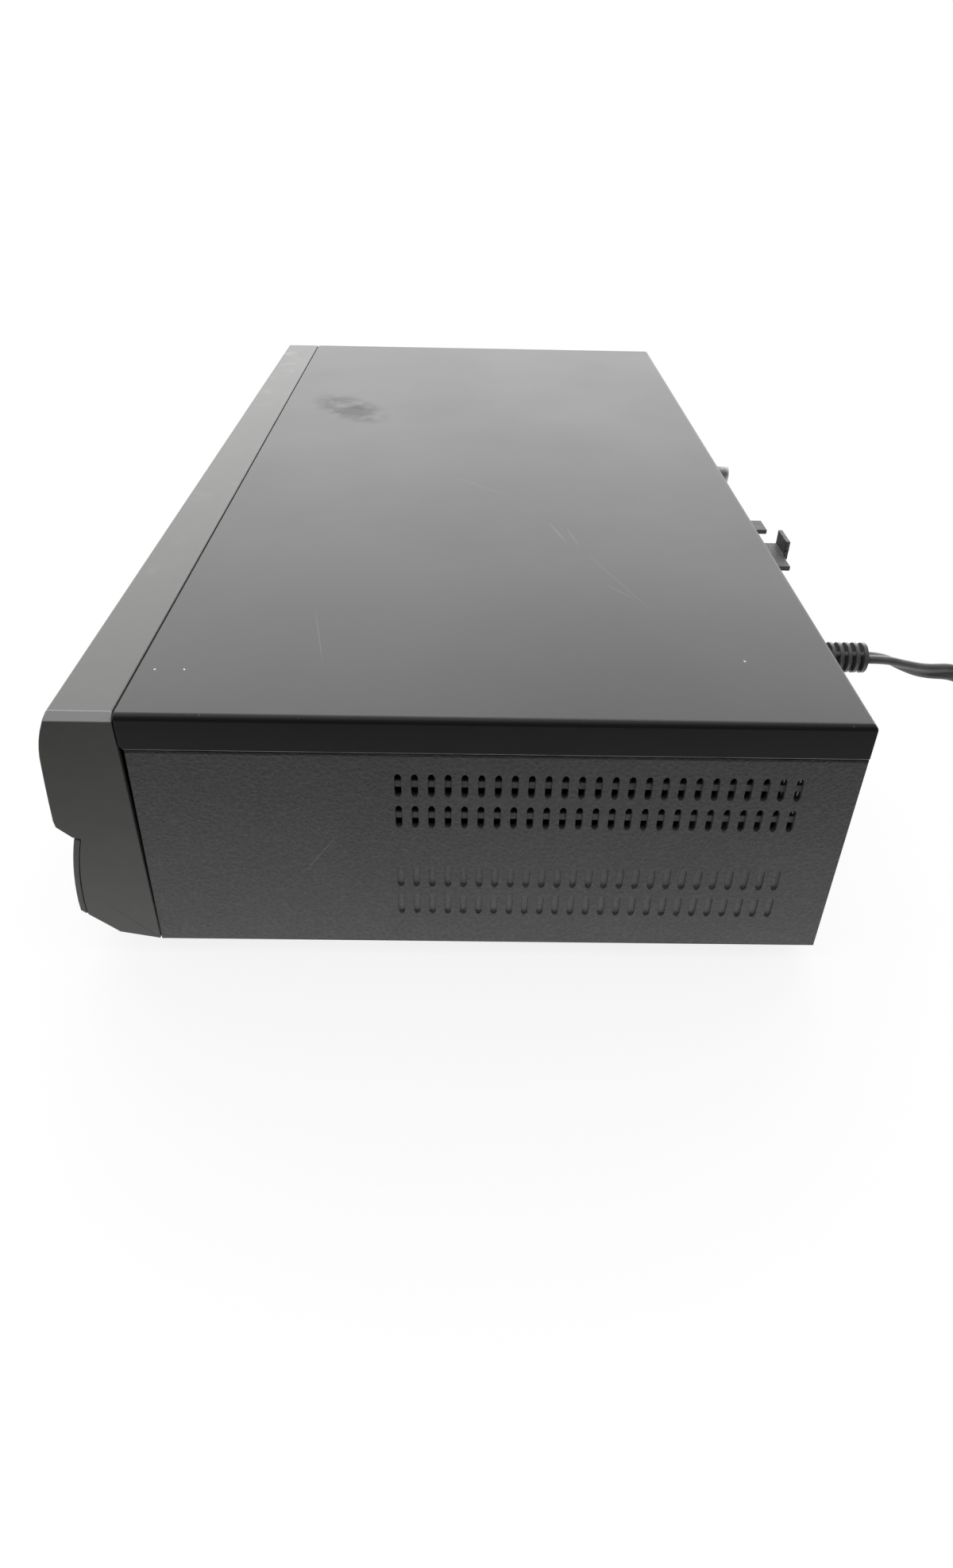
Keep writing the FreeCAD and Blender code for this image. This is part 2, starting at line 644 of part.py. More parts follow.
def cover_screws():
    screws = []
    for x in screw_places():
        shank = rod(x, REAR_INNER - 4.0, SCREW_Z, SCREW_RADIUS, BODY_DEPTH - REAR_INNER + 4.0, (0, 1, 0))
        head = rod(x, BODY_DEPTH, SCREW_Z, 3.4, 2.0, (0, 1, 0))
        head = head.makeChamfer(0.7, [e for e in head.Edges if abs(e.CenterOfMass.y - BODY_DEPTH - 2.0) < 0.01])
        bars = [box(x - 2.1, x + 2.1, BODY_DEPTH + 0.9, BODY_DEPTH + 3, SCREW_Z - 0.35, SCREW_Z + 0.35),
                box(x - 0.35, x + 0.35, BODY_DEPTH + 0.9, BODY_DEPTH + 3, SCREW_Z - 2.1, SCREW_Z + 2.1)]
        screws.append(shank.fuse(head.cut(bars)))
    return Part.makeCompound(screws)


def rear_panel():
    top = TOP - COVER_SHEET - 2.0
    panel = box(-INNER - 0.4, INNER + 0.4, REAR_INNER, REAR_FACE, 0.0, top)
    cuts = [rod(x, REAR_INNER - 1, SCREW_Z, SCREW_RADIUS + 0.05, 5, (0, 1, 0)) for x in screw_places()]
    for z in f_heights():
        cuts.append(rod(TUNER_X, REAR_INNER - 1, z, F_RADIUS + 0.4, 5, (0, 1, 0)))
    for x, z in rear_jack_places():
        cuts.append(rod(x, REAR_INNER - 1, z, JACK_COLLAR + FIT_GAP, 5, (0, 1, 0)))
    cuts.append(box(RELIEF_X - 4.3, RELIEF_X + 4.3, REAR_INNER - 1, REAR_FACE + 1, RELIEF_Z - 4.1, RELIEF_Z + 4.1))
    for column in range(12):
        x = INNER - 60.0 + column * 4.4
        cuts.append(box(x, x + 2.0, REAR_INNER - 1, REAR_FACE + 1, 24.0, 44.0))
    return panel.cut(cuts)


def cord_hook():
    y0 = REAR_FACE
    plate = box(HOOK_X - 24.5, HOOK_X + 24.5, y0, BODY_DEPTH + 3.4, HOOK_Z - 1, HOOK_Z + 1)
    far = box(HOOK_X - 24.5, HOOK_X - 13.5, y0, BODY_DEPTH + HOOK_TAB, HOOK_Z - 1, HOOK_Z + 1)
    middle = box(HOOK_X + 0.5, HOOK_X + 13.5, y0, BODY_DEPTH + HOOK_REACH, HOOK_Z - 1, HOOK_Z + 1)
    wall = box(HOOK_X + 0.5, HOOK_X + 13.5, BODY_DEPTH + HOOK_REACH - 1.8, BODY_DEPTH + HOOK_REACH, HOOK_Z - 1, HOOK_Z + 7)
    near = box(HOOK_X + 13.5, HOOK_X + 24.5, y0, BODY_DEPTH + HOOK_TAB, HOOK_Z - 1, HOOK_Z + 1)
    step = box(HOOK_X + 13.4, HOOK_X + 14.9, BODY_DEPTH + HOOK_TAB, BODY_DEPTH + HOOK_REACH + 1, HOOK_Z - 3, HOOK_Z + 3)
    ribs = []
    for x in (HOOK_X - 19.0, HOOK_X + 7.0, HOOK_X + 19.0):
        ribs.append(along_x((y0, HOOK_Z - 1), [(y0, HOOK_Z - 9), (BODY_DEPTH + HOOK_TAB - 2.5, HOOK_Z - 1)], x - 0.9, x + 0.9))
    hook = join([plate, far, middle, wall, near] + ribs)
    return hook.cut(step)


def relief_ring(radius):
    corners = [math.radians(22.5 * k) for k in range(16)]
    return [(RELIEF_X + radius * math.cos(a), RELIEF_Z + radius * math.sin(a)) for a in corners]


def strain_relief():
    # Rings joined by spines above and below, with windows between them at the sides.
    y = REAR_INNER - 3.0
    core = box(RELIEF_X - 4.0, RELIEF_X + 4.0, y, BODY_DEPTH + 1.4, RELIEF_Z - 3.8, RELIEF_Z + 3.8)
    inside = box(RELIEF_X - 5.6, RELIEF_X + 5.6, y, REAR_INNER, RELIEF_Z - 5.2, RELIEF_Z + 5.2)
    collar = box(RELIEF_X - 5.8, RELIEF_X + 5.8, REAR_FACE, BODY_DEPTH + 1.4, RELIEF_Z - 5.6, RELIEF_Z + 5.6)
    start = BODY_DEPTH + 1.0
    stem = rod(RELIEF_X, start, RELIEF_Z, 2.6, BODY_DEPTH + RELIEF_REACH - start, (0, 1, 0))
    spine = box(RELIEF_X - 2.0, RELIEF_X + 2.0, start, BODY_DEPTH + RELIEF_REACH - 3.0, RELIEF_Z - 4.6, RELIEF_Z + 4.6)
    pieces = [core, inside, collar, stem, spine]
    for n in range(8):
        ring_y = BODY_DEPTH + 3.4 + n * 2.8
        pieces.append(spread_x(relief_ring(5.15 if n < 7 else 4.2), ring_y, ring_y + 1.5))
    pieces.append(spread_x(relief_ring(3.3), BODY_DEPTH + RELIEF_REACH - 1.5, BODY_DEPTH + RELIEF_REACH))
    return join(pieces)


# Boards and rear sockets


def main_board():
    right = MAIN_RIGHT
    pieces = [box(MAIN_LEFT, right, 16.0, REAR_INNER - 4.0, MAIN_Z, MAIN_TOP)]
    for x, y, w, d, h in (
        (MAIN_LEFT + 26, 60, 22, 14, 3.2),
        (MAIN_LEFT + 66, 54, 14, 14, 2.6),
        (MAIN_LEFT + 30, 104, 16, 8, 3.2),
        (MAIN_LEFT + 76, 96, 24, 9, 3.4),
        (MAIN_LEFT + 20, 140, 30, 4, 9.0),
        (MAIN_LEFT + 96, 30, 34, 5, 9.0),
        (right - 30, 92, 18, 14, 12.0),
    ):
        pieces.append(box(x, x + w, y, y + d, MAIN_TOP, MAIN_TOP + h))
    return join(pieces)


def power_transformer():
    x = MAIN_RIGHT - 31.0
    y = REAR_INNER - 60.0
    core = box(x - 25, x + 25, y - 10, y + 10, MAIN_TOP, MAIN_TOP + 42)
    coil = box(x - 16, x + 16, y - 21, y + 21, MAIN_TOP + 8, MAIN_TOP + 34)
    coil = coil.makeChamfer(3.0, [e for e in coil.Edges if abs(e.tangentAt(e.FirstParameter).y) > 0.9])
    pieces = [core, coil, box(x - 30, x + 30, y - 7, y + 7, MAIN_TOP, MAIN_TOP + 1.2)]
    for side in (-1, 1):
        lip = y + side * 20.4
        pieces.append(box(x - 17, x + 17, lip - 0.8, lip + 0.8, MAIN_TOP + 6, MAIN_TOP + 36))
    return join(pieces)


def capacitors():
    cans = []
    for dx, y, r, h in ((-80, 46, 9, 32), (-80, 70, 6, 22), (-98, 62, 6, 22), (-64, 90, 4, 12), (-92, 84, 4, 12)):
        cans.append(rod(MAIN_RIGHT + dx, REAR_INNER - y, MAIN_TOP, r, h))
    return Part.makeCompound(cans)


def heat_sink():
    x0 = MAIN_LEFT + 60.0
    y0 = REAR_INNER - 30.0
    pieces = [box(x0, x0 + 44, y0, y0 + 3, MAIN_TOP, MAIN_TOP + 34)]
    for n in range(8):
        x = x0 + n * 6.0
        pieces.append(box(x, x + 1.6, y0, y0 + 14, MAIN_TOP, MAIN_TOP + 34))
    pieces.append(box(x0 + 14, x0 + 30, y0 - 4.5, y0, MAIN_TOP + 4, MAIN_TOP + 24))
    return join(pieces)


def f_heights():
    return [TUNER_TOP - 9.0, TUNER_TOP - 28.0]


def tuner_module():
    y0 = REAR_INNER - TUNER_DEPTH
    can = box(TUNER_X - 20, TUNER_X + 20, y0, REAR_INNER, TUNER_TOP - 50, TUNER_TOP)
    pieces = [can]
    for z in f_heights():
        pieces.append(rod(TUNER_X, REAR_INNER, z, F_RADIUS, BODY_DEPTH - REAR_INNER + F_REACH, (0, 1, 0)))
        corners = [math.radians(60 * k) for k in range(6)]
        hexagon = [(TUNER_X + F_NUT * math.cos(a), z + F_NUT * math.sin(a)) for a in corners]
        pieces.append(spread_x(hexagon, BODY_DEPTH, BODY_DEPTH + 2.2))
    body = join(pieces)
    wells = []
    for z in f_heights():
        wells.append(rod(TUNER_X, BODY_DEPTH + F_REACH - 8.0, z, 1.0, 9.0, (0, 1, 0)))
    return body.cut(wells)


def rear_jack_places():
    places = []
    for column in range(3):
        for z in (MAIN_TOP + 12.4, MAIN_TOP + 30.4):
            places.append((MAIN_LEFT + 8.0 + 16.0 * column, z))
    return places


def rear_jacks():
    places = rear_jack_places()
    block = box(MAIN_LEFT + 0.5, MAIN_LEFT + 47.5, REAR_INNER - 12.0, REAR_INNER, MAIN_TOP, MAIN_TOP + 38.0)
    reach = BODY_DEPTH - REAR_INNER + REAR_JACK_REACH
    return join([block] + [phono(x, REAR_INNER, z, 1, REAR_WALL + 0.6, reach) for x, z in places])


# Deck


def arc_slot(side):
    # The curved slot that one tape guide's base runs in.
    x, y = deck(-side * 50.0, -15.0)
    low = DECK_UNDER - 1
    spare = math.degrees(2.6 / GUIDE_ARC)
    span = GUIDE_REST + 5.0 - GUIDE_PARKED + 2 * spare
    outer = Part.makeCylinder(GUIDE_ARC + 2.5, 4, V(x, y, low), V(0, 0, 1), span)
    inner = rod(x, y, low, GUIDE_ARC - 2.5, 4)
    sector = outer.cut(inner)
    start = -(GUIDE_REST + 5.0 + spare) if side > 0 else 180 + GUIDE_PARKED - spare
    sector.rotate(V(x, y, 0), V(0, 0, 1), start)
    return sector


def deck_plate():
    left = MECH_X - DECK_HALF
    right = MECH_X + DECK_HALF
    plate = box(left, right, DECK_FRONT, DRUM_Y + 35.0, DECK_UNDER, DECK_TOP)
    cuts = [arc_slot(-1), arc_slot(1)]
    cuts.append(box(MECH_X + 48.0, right + 1, DRUM_Y + 18.0, DRUM_Y + 40, DECK_UNDER - 1, DECK_TOP + 1))
    x, y = CAPSTAN
    cuts.append(rod(x, y, DECK_UNDER - 1, 4.2, 4))
    for u in (-84.0, 84.0):
        cuts.append(box(MECH_X + u - 5, MECH_X + u + 5, DECK_FRONT + 28, DECK_FRONT + 70, DECK_UNDER - 1, DECK_TOP + 1))
    cuts.append(box(MECH_X - 12, MECH_X + 12, DECK_FRONT + 8, DECK_FRONT + 26, DECK_UNDER - 1, DECK_TOP + 1))
    pins = []
    for x, y in REELS:
        pins.append(rod(x, y, DECK_TOP - 0.5, REEL_PIN, 14.0))
    x, y = CLUTCH
    pins.append(rod(x, y, DECK_UNDER - 3.0, 4.2, 3.0 + DECK_SHEET + 0.2))
    x, y = CAM
    pins.append(rod(x, y, DECK_TOP - 11.0, 3.0, 10.5))
    pins.append(rod(x, y, DECK_TOP - 11.5, 4.4, 1.0))
    x, y = PINCH
    pins.append(rod(x, y, DECK_TOP - 0.5, 2.0, 5.5))
    pins.append(rod(x, y, DECK_TOP - 0.5, 4.0, 2.2))
    x, y = TENSION
    pins.append(rod(x, y, DECK_TOP - 0.5, 2.0, 5.5))
    pins.append(rod(x, y, DECK_TOP - 0.5, 4.0, 2.2))
    x, y = deck(0, 0)
    pins.append(rod(x, y, DECK_TOP - 0.5, DRUM_RADIUS - 4.0, 3.7))
    plate = plate.cut(cuts).fuse(pins)
    x, y = CLUTCH
    return plate.cut(rod(x, y, DECK_UNDER - 4, 2.0 + RUN_GAP, 8)).removeSplitter()


def tilted(shape):
    shape.rotate(V(0, 0, 0), V(0, 1, 0), -DRUM_TILT)
    shape.translate(V(MECH_X, DRUM_Y, DECK_TOP + 3.2))
    return shape


def lower_drum():
    body = rod(0, 0, 3.4, DRUM_RADIUS, 17.6)
    stub = rod(0, 0, 0.0, DRUM_RADIUS - 7.0, 4.0)
    ledge = tube(0, 0, 3.4, DRUM_RADIUS + 0.25, DRUM_RADIUS - 1, 2.2)
    bore = rod(0, 0, 5.0, 3.0 + RUN_GAP, 20)
    drum = tilted(join([body, stub, ledge]).cut(bore))
    return drum.cut(box(MECH_X - 60, MECH_X + 60, DRUM_Y - 60, DRUM_Y + 60, DECK_TOP - 5, DECK_TOP + 3.2))


def upper_drum():
    body = rod(0, 0, 21.3, DRUM_RADIUS, 11.7)
    dish = tube(0, 0, 30.0, DRUM_RADIUS - 6, 10.0, 4.0)
    shaft = rod(0, 0, 6.0, 3.0, 29.0)
    notches = []
    for k in range(4):
        notch = box(DRUM_RADIUS - 4, DRUM_RADIUS + 1, -2.2, 2.2, 21, 23)
        notch.rotate(V(0, 0, 0), V(0, 0, 1), 45 + 90 * k)
        notches.append(notch)
    holes = []
    for k in range(4):
        a = math.radians(90 * k)
        holes.append(rod(17 * math.cos(a), 17 * math.sin(a), 26.0, 2.6, 6))
    return tilted(join([body.cut([dish] + notches + holes), shaft]))


def capstan_motor():
    x, y = CAPSTAN
    z = DECK_TOP - 9.0
    plate = box(x - 25, x + 25, y - 22, y + 22, z, z + 2.0)
    plate = plate.makeChamfer(8.0, [e for e in plate.Edges if abs(e.tangentAt(e.FirstParameter).z) > 0.9])
    bearing = rod(x, y, z, 4.0, 12.6)
    coils = []
    for k in range(6):
        a = math.radians(60 * k + 30)
        coils.append(rod(x + 13 * math.cos(a), y + 13 * math.sin(a), z + 1.9, 4.5, 1.8))
    legs = [rod(x + dx, y + dy, z + 1.9, 2.4, DECK_UNDER - z - 1.9) for dx, dy in ((-17, 6), (17, 6), (0, -19))]
    return join([plate, bearing] + coils + legs).cut(rod(x, y, z - 1, 1.5 + RUN_GAP, 20))


def capstan():
    x, y = CAPSTAN
    low = PULLEY_LOW
    wheel = rod(x, y, DECK_TOP - 16.0, 22.0, 6.0)
    dish = tube(x, y, DECK_TOP - 12.0, 17.0, 6.0, 3.0)
    pulley = rod(x, y, low, CAPSTAN_PULLEY, 4.5)
    shaft = rod(x, y, low, 1.5, 44.0)
    return join([wheel.cut(dish), pulley, shaft])


def clutch_pulley():
    x, y = CLUTCH
    low = PULLEY_LOW
    wheel = rod(x, y, low, CLUTCH_PULLEY, 3.6)
    hub = rod(x, y, low, 6.0, DECK_UNDER - 3.4 - low)
    shaft = rod(x, y, low, 2.0, DECK_TOP + 4.4 - low)
    drive = rod(x, y, DECK_TOP + 0.5, 5.0, 2.1)
    return join([wheel, hub, shaft, drive])


def drive_belt():
    low = PULLEY_LOW + 0.8
    a = CAPSTAN_PULLEY + RUN_GAP
    b = CLUTCH_PULLEY + RUN_GAP
    outer = stadium(CAPSTAN, a + BELT, CLUTCH, b + BELT, low, low + 2.0)
    return outer.cut(stadium(CAPSTAN, a, CLUTCH, b, low - 1, low + 3))


def reel(place):
    x, y = place
    low = DECK_TOP + 0.4
    table = rod(x, y, low, REEL_RADIUS, 2.6)
    rim = tube(x, y, low + 1.6, REEL_RADIUS + 1, REEL_RADIUS - 1.2, 2)
    hub = rod(x, y, low, 10.0, 5.0)
    spindle = Part.makeCone(6.4, 5.6, 8.0, V(x, y, low + 5.0))
    tip = Part.makeCone(5.6, 2.6, 3.2, V(x, y, low + 13.0))
    fins = []
    for k in range(3):
        fin = box(0, 8.4, -1.0, 1.0, 0, 11.0)
        fin.rotate(V(0, 0, 0), V(0, 0, 1), 120 * k + 20)
        fin.translate(V(x, y, low + 2.0))
        fins.append(fin)
    solid = join([table.cut(rim), hub, spindle, tip] + fins)
    return solid.cut(rod(x, y, low - 1, REEL_PIN + RUN_GAP, 15.0))


def idler_arm():
    x, y = CLUTCH
    low = DECK_TOP + 3.0
    end = (x, y - IDLER_REACH)
    arm = stadium((x, y), 4.5, end, 3.5, low, low + 1.2)
    pin = rod(end[0], end[1], DECK_TOP + 0.5, 1.5, 3.0)
    return join([arm, pin]).cut(rod(x, y, low - 1, 2.0 + RUN_GAP, 4))


def idler_wheel():
    x = CLUTCH[0]
    y = CLUTCH[1] - IDLER_REACH
    low = DECK_TOP + 0.5
    wheel = rod(x, y, low, IDLER_RADIUS, 2.1)
    return wheel.cut(rod(x, y, low - 1, 1.5 + RUN_GAP, 4))


def gear(place, teeth, z0, z1, bore, phase):
    # Straight-flanked teeth with backlash, thinner at the tip.
    pitch = GEAR_MODULE * teeth / 2
    tip = pitch + 0.9 * GEAR_MODULE
    root = pitch - 1.15 * GEAR_MODULE
    step = 2 * math.pi / teeth
    points = []
    for n in range(teeth):
        middle = n * step + phase
        for angle, radius in ((-0.30, root), (-0.10, tip), (0.10, tip), (0.30, root)):
            a = middle + angle * step
            points.append((place[0] + radius * math.cos(a), place[1] + radius * math.sin(a)))
    return upright(points, z0, z1).cut(rod(place[0], place[1], z0 - 1, bore, z1 - z0 + 2))


def cam_gear():
    x, y = CAM
    low = DECK_TOP - 8.0
    wheel = gear(CAM, CAM_TEETH, low, low + 4.0, 3.0 + RUN_GAP, -math.pi / 2)
    hub = tube(x, y, low - 2.0, 6.0, 3.0 + RUN_GAP, 8.3)
    track = tube(x, y, low - 1.6, 19.5, 17.9, 1.8)
    holes = []
    for k in range(5):
        a = math.radians(72 * k)
        holes.append(rod(x + 12 * math.cos(a), y + 12 * math.sin(a), low - 3, 4.0, 9))
    return join([wheel.cut(holes), hub, track])


def loading_pinion():
    low = DECK_TOP - 8.5
    wheel = gear(PINION, PINION_TEETH, low, low + 5.0, 0.4, math.pi / 2 + math.pi / PINION_TEETH)
    return join([wheel, rod(PINION[0], PINION[1], low - 8.0, 1.0, 13.0)])


def loading_motor():
    x, y = PINION
    top = DECK_TOP - 10.0
    can = rod(x, y, top - 13.0, 11.0, 13.0)
    plate = box(x - 16, x + 16, y - 6, y + 6, top - 1.2, top)
    legs = [rod(x + dx, y, top - 1.0, 2.4, DECK_UNDER - top + 1.0) for dx in (-13.2, 13.2)]
    return join([can, plate] + legs).cut(rod(x, y, top - 10.0, 1.0 + RUN_GAP, 12))


def on_arc(side, angle):
    # A point of one guide's track. The angle is counted towards the front.
    a = math.radians(angle)
    return deck(-side * 50.0 + side * GUIDE_ARC * math.cos(a), -15.0 - GUIDE_ARC * math.sin(a))


def tape_guide(side):
    front = on_arc(side, GUIDE_REST)
    back = on_arc(side, GUIDE_REST + 5.0)
    low = DECK_TOP + 0.3
    base = stadium(front, 4.6, back, 4.2, low, low + 2.8)
    pegs = [rod(front[0], front[1], DECK_TOP - 3.6, 2.2, 4.2), rod(back[0], back[1], DECK_TOP - 3.6, 2.2, 4.2)]
    roller = rod(front[0], front[1], low + 2.6, 3.0, 15.6)
    waist = tube(front[0], front[1], low + 4.4, 3.4, 2.3, 12.0)
    lean = rod(back[0], back[1], low + 2.4, 1.5, 14.5, (-side * 0.12, -0.12, 1.0))
    return join([base, roller.cut(waist), lean] + pegs)


def pinch_end():
    angle = math.radians(PINCH_ANGLE)
    return (PINCH[0] + PINCH_REACH * math.cos(angle), PINCH[1] + PINCH_REACH * math.sin(angle))


def pinch_arm():
    end = pinch_end()
    low = DECK_TOP + 2.0
    arm = stadium(PINCH, 5.0, end, 3.6, low, low + 2.2)
    pin = rod(end[0], end[1], low + 1.8, 1.5, 18.6)
    return join([arm, pin]).cut(rod(PINCH[0], PINCH[1], low - 1, 2.0 + RUN_GAP, 5))


def pinch_roller():
    x, y = pinch_end()
    low = DECK_TOP + 4.6
    return rod(x, y, low, 6.25, 15.6).cut(rod(x, y, low - 1, 1.5 + RUN_GAP, 20))


def tension_arm():
    angle = math.radians(-60)
    end = (TENSION[0] + 26 * math.cos(angle), TENSION[1] + 26 * math.sin(angle))
    low = DECK_TOP + 2.0
    arm = stadium(TENSION, 4.6, end, 3.0, low, low + 1.8)
    post = rod(end[0], end[1], low + 1.6, 1.5, 16.0)
    cap = rod(end[0], end[1], low + 16.0, 2.4, 1.2)
    return join([arm, post, cap]).cut(rod(TENSION[0], TENSION[1], low - 1, 2.0 + RUN_GAP, 5))


def erase_head():
    x, y = deck(-60.0, -10.0)
    block = box(x - 4.5, x + 4.5, y - 5.5, y + 5.5, DECK_TOP, DECK_TOP + 17.0)
    face = rod(x + 4.0, y, DECK_TOP + 2.0, 3.0, 14.0)
    foot = box(x - 9.5, x + 2, y - 3, y + 3, DECK_TOP, DECK_TOP + 1.4)
    return join([block, face, foot])


def control_head():
    x, y = deck(56.0, 2.0)
    plate = box(x - 8, x + 8, y - 7, y + 7, DECK_TOP + 5.0, DECK_TOP + 6.4)
    legs = [rod(x + dx, y + dy, DECK_TOP, 1.8, 5.2) for dx, dy in ((-6, -5), (6, -5), (0, 5))]
    block = box(x - 5, x + 5, y - 5, y + 4, DECK_TOP + 6.2, DECK_TOP + 20.0)
    face = rod(x - 1.0, y - 4.0, DECK_TOP + 7.0, 3.2, 12.6)
    return join([plate, block, face] + legs)


# Cassette carriage


def slider_y():
    return BASKET_FRONT + 4.0, BASKET_FRONT + 48.0


def basket_pins():
    return [BASKET_FRONT + 10.0, BASKET_FRONT + 40.0]


def basket_pin_z():
    return BASKET_TOP - 6.0


def slider_ribs():
    return [BASKET_TOP - 1.9, BASKET_FLOOR + 1.0]


def carriage_frame():
    front = BASKET_FRONT - 2.0
    rear = BASKET_FRONT + 48.0 + LOAD_TRAVEL + 12.0
    top = DECK_TOP + CARRIAGE_HEIGHT
    pieces = []
    for side in (-1, 1):
        a = MECH_X + side * FRAME_IN
        b = a + side * SHEET
        plate = box(min(a, b), max(a, b), front, rear, DECK_TOP, top)
        y0, y1 = slider_y()
        for z in slider_ribs():
            plate = plate.cut(box(min(a, b) - 1, max(a, b) + 1, y0 + 1.6, y1 + LOAD_TRAVEL - 1.6, z - 1.6, z + 1.6))
        window = box(min(a, b) - 1, max(a, b) + 1, front + 14, rear - 14, DECK_TOP + 6, BASKET_FLOOR - 5)
        pieces.append(plate.cut(window))
        c = a - side * 11.0
        pieces.append(box(min(a, c), max(a, c), front, rear, DECK_TOP, DECK_TOP + SHEET))
    pieces.append(box(MECH_X - FRAME_IN, MECH_X + FRAME_IN, rear - 10, rear, top - SHEET, top))
    return join(pieces)


def carriage_sliders():
    y0, y1 = slider_y()
    low = BASKET_FLOOR - 1.0
    high = BASKET_TOP + 4.2
    pieces = []
    for side in (-1, 1):
        a = MECH_X + side * SLIDER_IN
        b = MECH_X + side * SLIDER_OUT
        plate = box(min(a, b), max(a, b), y0, y1, low, high)
        for y in basket_pins():
            plate = plate.cut(box(min(a, b) - 1, max(a, b) + 1, y - 1.6, y + 1.6,
                                  basket_pin_z() - LOWER_TRAVEL - 1.6, basket_pin_z() + 1.6))
        pieces.append(plate)
        c = b + side * 1.8
        for z in slider_ribs():
            pieces.append(box(min(b, c), max(b, c), y0 + 2, y1 - 2, z - 1.3, z + 1.3))
    pieces.append(box(MECH_X - SLIDER_OUT, MECH_X + SLIDER_OUT, y1 - 12, y1 - 4, high - 2.0, high))
    return join(pieces)


def cassette_basket():
    y0 = BASKET_FRONT
    y1 = BASKET_FRONT + BASKET_DEPTH
    top = BASKET_TOP
    half = BASKET_HALF
    sheet = box(MECH_X - half, MECH_X + half, y0, y1, top, top + 1.0)
    opening = box(MECH_X - 40, MECH_X + 40, y0 + 16, y1 - 12, top - 1, top + 2)
    tongue = box(MECH_X - 10, MECH_X + 10, y0 + 12, y1 - 18, top, top + 1.0)
    pieces = [sheet.cut(opening).fuse(tongue)]
    for side in (-1, 1):
        a = MECH_X + side * half
        b = a - side * BASKET_SIDE
        pieces.append(box(min(a, b), max(a, b), y0, y1, BASKET_FLOOR - 1.0, top + 1.0))
        c = MECH_X + side * (half - 16.0)
        pieces.append(box(min(a, c), max(a, c), y0, y1, BASKET_FLOOR - 1.0, BASKET_FLOOR))
        for y in basket_pins():
            pieces.append(rod(a - side * 0.5, y, basket_pin_z(), 1.5, SLIDER_OUT - half + 0.5, (side, 0, 0)))
        d = MECH_X + side * 45.0
        pieces.append(box(d - 15, d + 15, y1 - 1.0, y1, top - 14.5, top + 0.5))
    return join(pieces)


# Cord


def unit(v):
    return v.multiply(1.0 / v.Length) if v.Length else v


def tangent_arc(p, t, q):
    chord = q - p
    middle = (p + q) * 0.5
    turn = t.getAngle(chord)
    if turn < 1e-6:
        return Part.LineSegment(p, q).toShape()
    side = t - chord * (t.dot(chord) / chord.dot(chord))
    bulge = chord.Length / 2 * math.tan(turn / 2)
    return Part.Arc(p, middle + unit(side) * bulge, q).toShape()


def biarc(p, tp, q, tq):
    v = q - p
    t = tp + tq
    a = 4 - t.dot(t)
    b = v.dot(t)
    d = (math.sqrt(b * b + a * v.dot(v)) - b) / a if a > 1e-9 else v.dot(v) / (2 * b)
    joint = ((p + tp * d) + (q - tq * d)) * 0.5
    back = tangent_arc(q, tq * -1, joint)
    front = tangent_arc(p, tp, joint)
    return [front, back]


def coil_point(turn):
    # In along the lower layer, a climbing half turn, and out again along the upper one.
    z = COIL_LOW
    inner = COIL_RADIUS - COIL_TURNS * COIL_PITCH
    if turn < COIL_TURNS:
        radius = COIL_RADIUS - COIL_PITCH * turn
    elif turn < COIL_TURNS + 0.5:
        share = (turn - COIL_TURNS) * 2
        radius = inner - 2.5 * math.sin(math.pi * share)
        z += COIL_LAYER * (1 - math.cos(math.pi * share)) / 2
    else:
        radius = inner + COIL_PITCH * (turn - COIL_TURNS - 0.5)
        z += COIL_LAYER
    angle = math.radians(COIL_START) - 2 * math.pi * turn
    return V(COIL_CENTRE[0] + radius * math.cos(angle), COIL_CENTRE[1] + radius * math.sin(angle), z)


def coil_tangent(turn):
    step = 1e-4
    return unit(coil_point(turn + step) - coil_point(turn - step))


def coil_path():
    total = 2 * COIL_TURNS + 0.5
    quarters = int(total * 4)
    edges = []
    for n in range(quarters):
        a = n / 4
        b = (n + 1) / 4
        edges += biarc(coil_point(a), coil_tangent(a), coil_point(b), coil_tangent(b))
    return edges


def section(p, t, corners):
    # A closed outline square to the path at its start, from corners across and up.
    across = unit(V(0, 0, 1).cross(t))
    up = t.cross(across)
    points = [p + across * a + up * b for a, b in corners]
    return Part.makePolygon(points + points[:1])


def pipe(edges, p, t, corners):
    return Part.Wire(edges).makePipeShell([section(p, t, corners)], True, False)


def route_path(points, ends):
    # Straight runs joined by arcs that fill 0.45 of the shorter run at each corner.
    edges = []
    radii = []
    here = points[0]
    for n in range(1, len(points) - 1):
        before = points[n] - points[n - 1]
        after = points[n + 1] - points[n]
        trim = 0.45 * min(before.Length, after.Length)
        turn = before.getAngle(after)
        radii.append(trim / math.tan(turn / 2))
        p = points[n] - before * (trim / before.Length)
        q = points[n] + after * (trim / after.Length)
        edges.append(Part.LineSegment(here, p).toShape())
        edges.append(tangent_arc(p, unit(V(before)), q))
        here = q
    edges.append(Part.LineSegment(here, points[-1]).toShape())
    print(ends, "least radius", round(min(radii), 1), "of", [round(r, 1) for r in radii])
    return edges


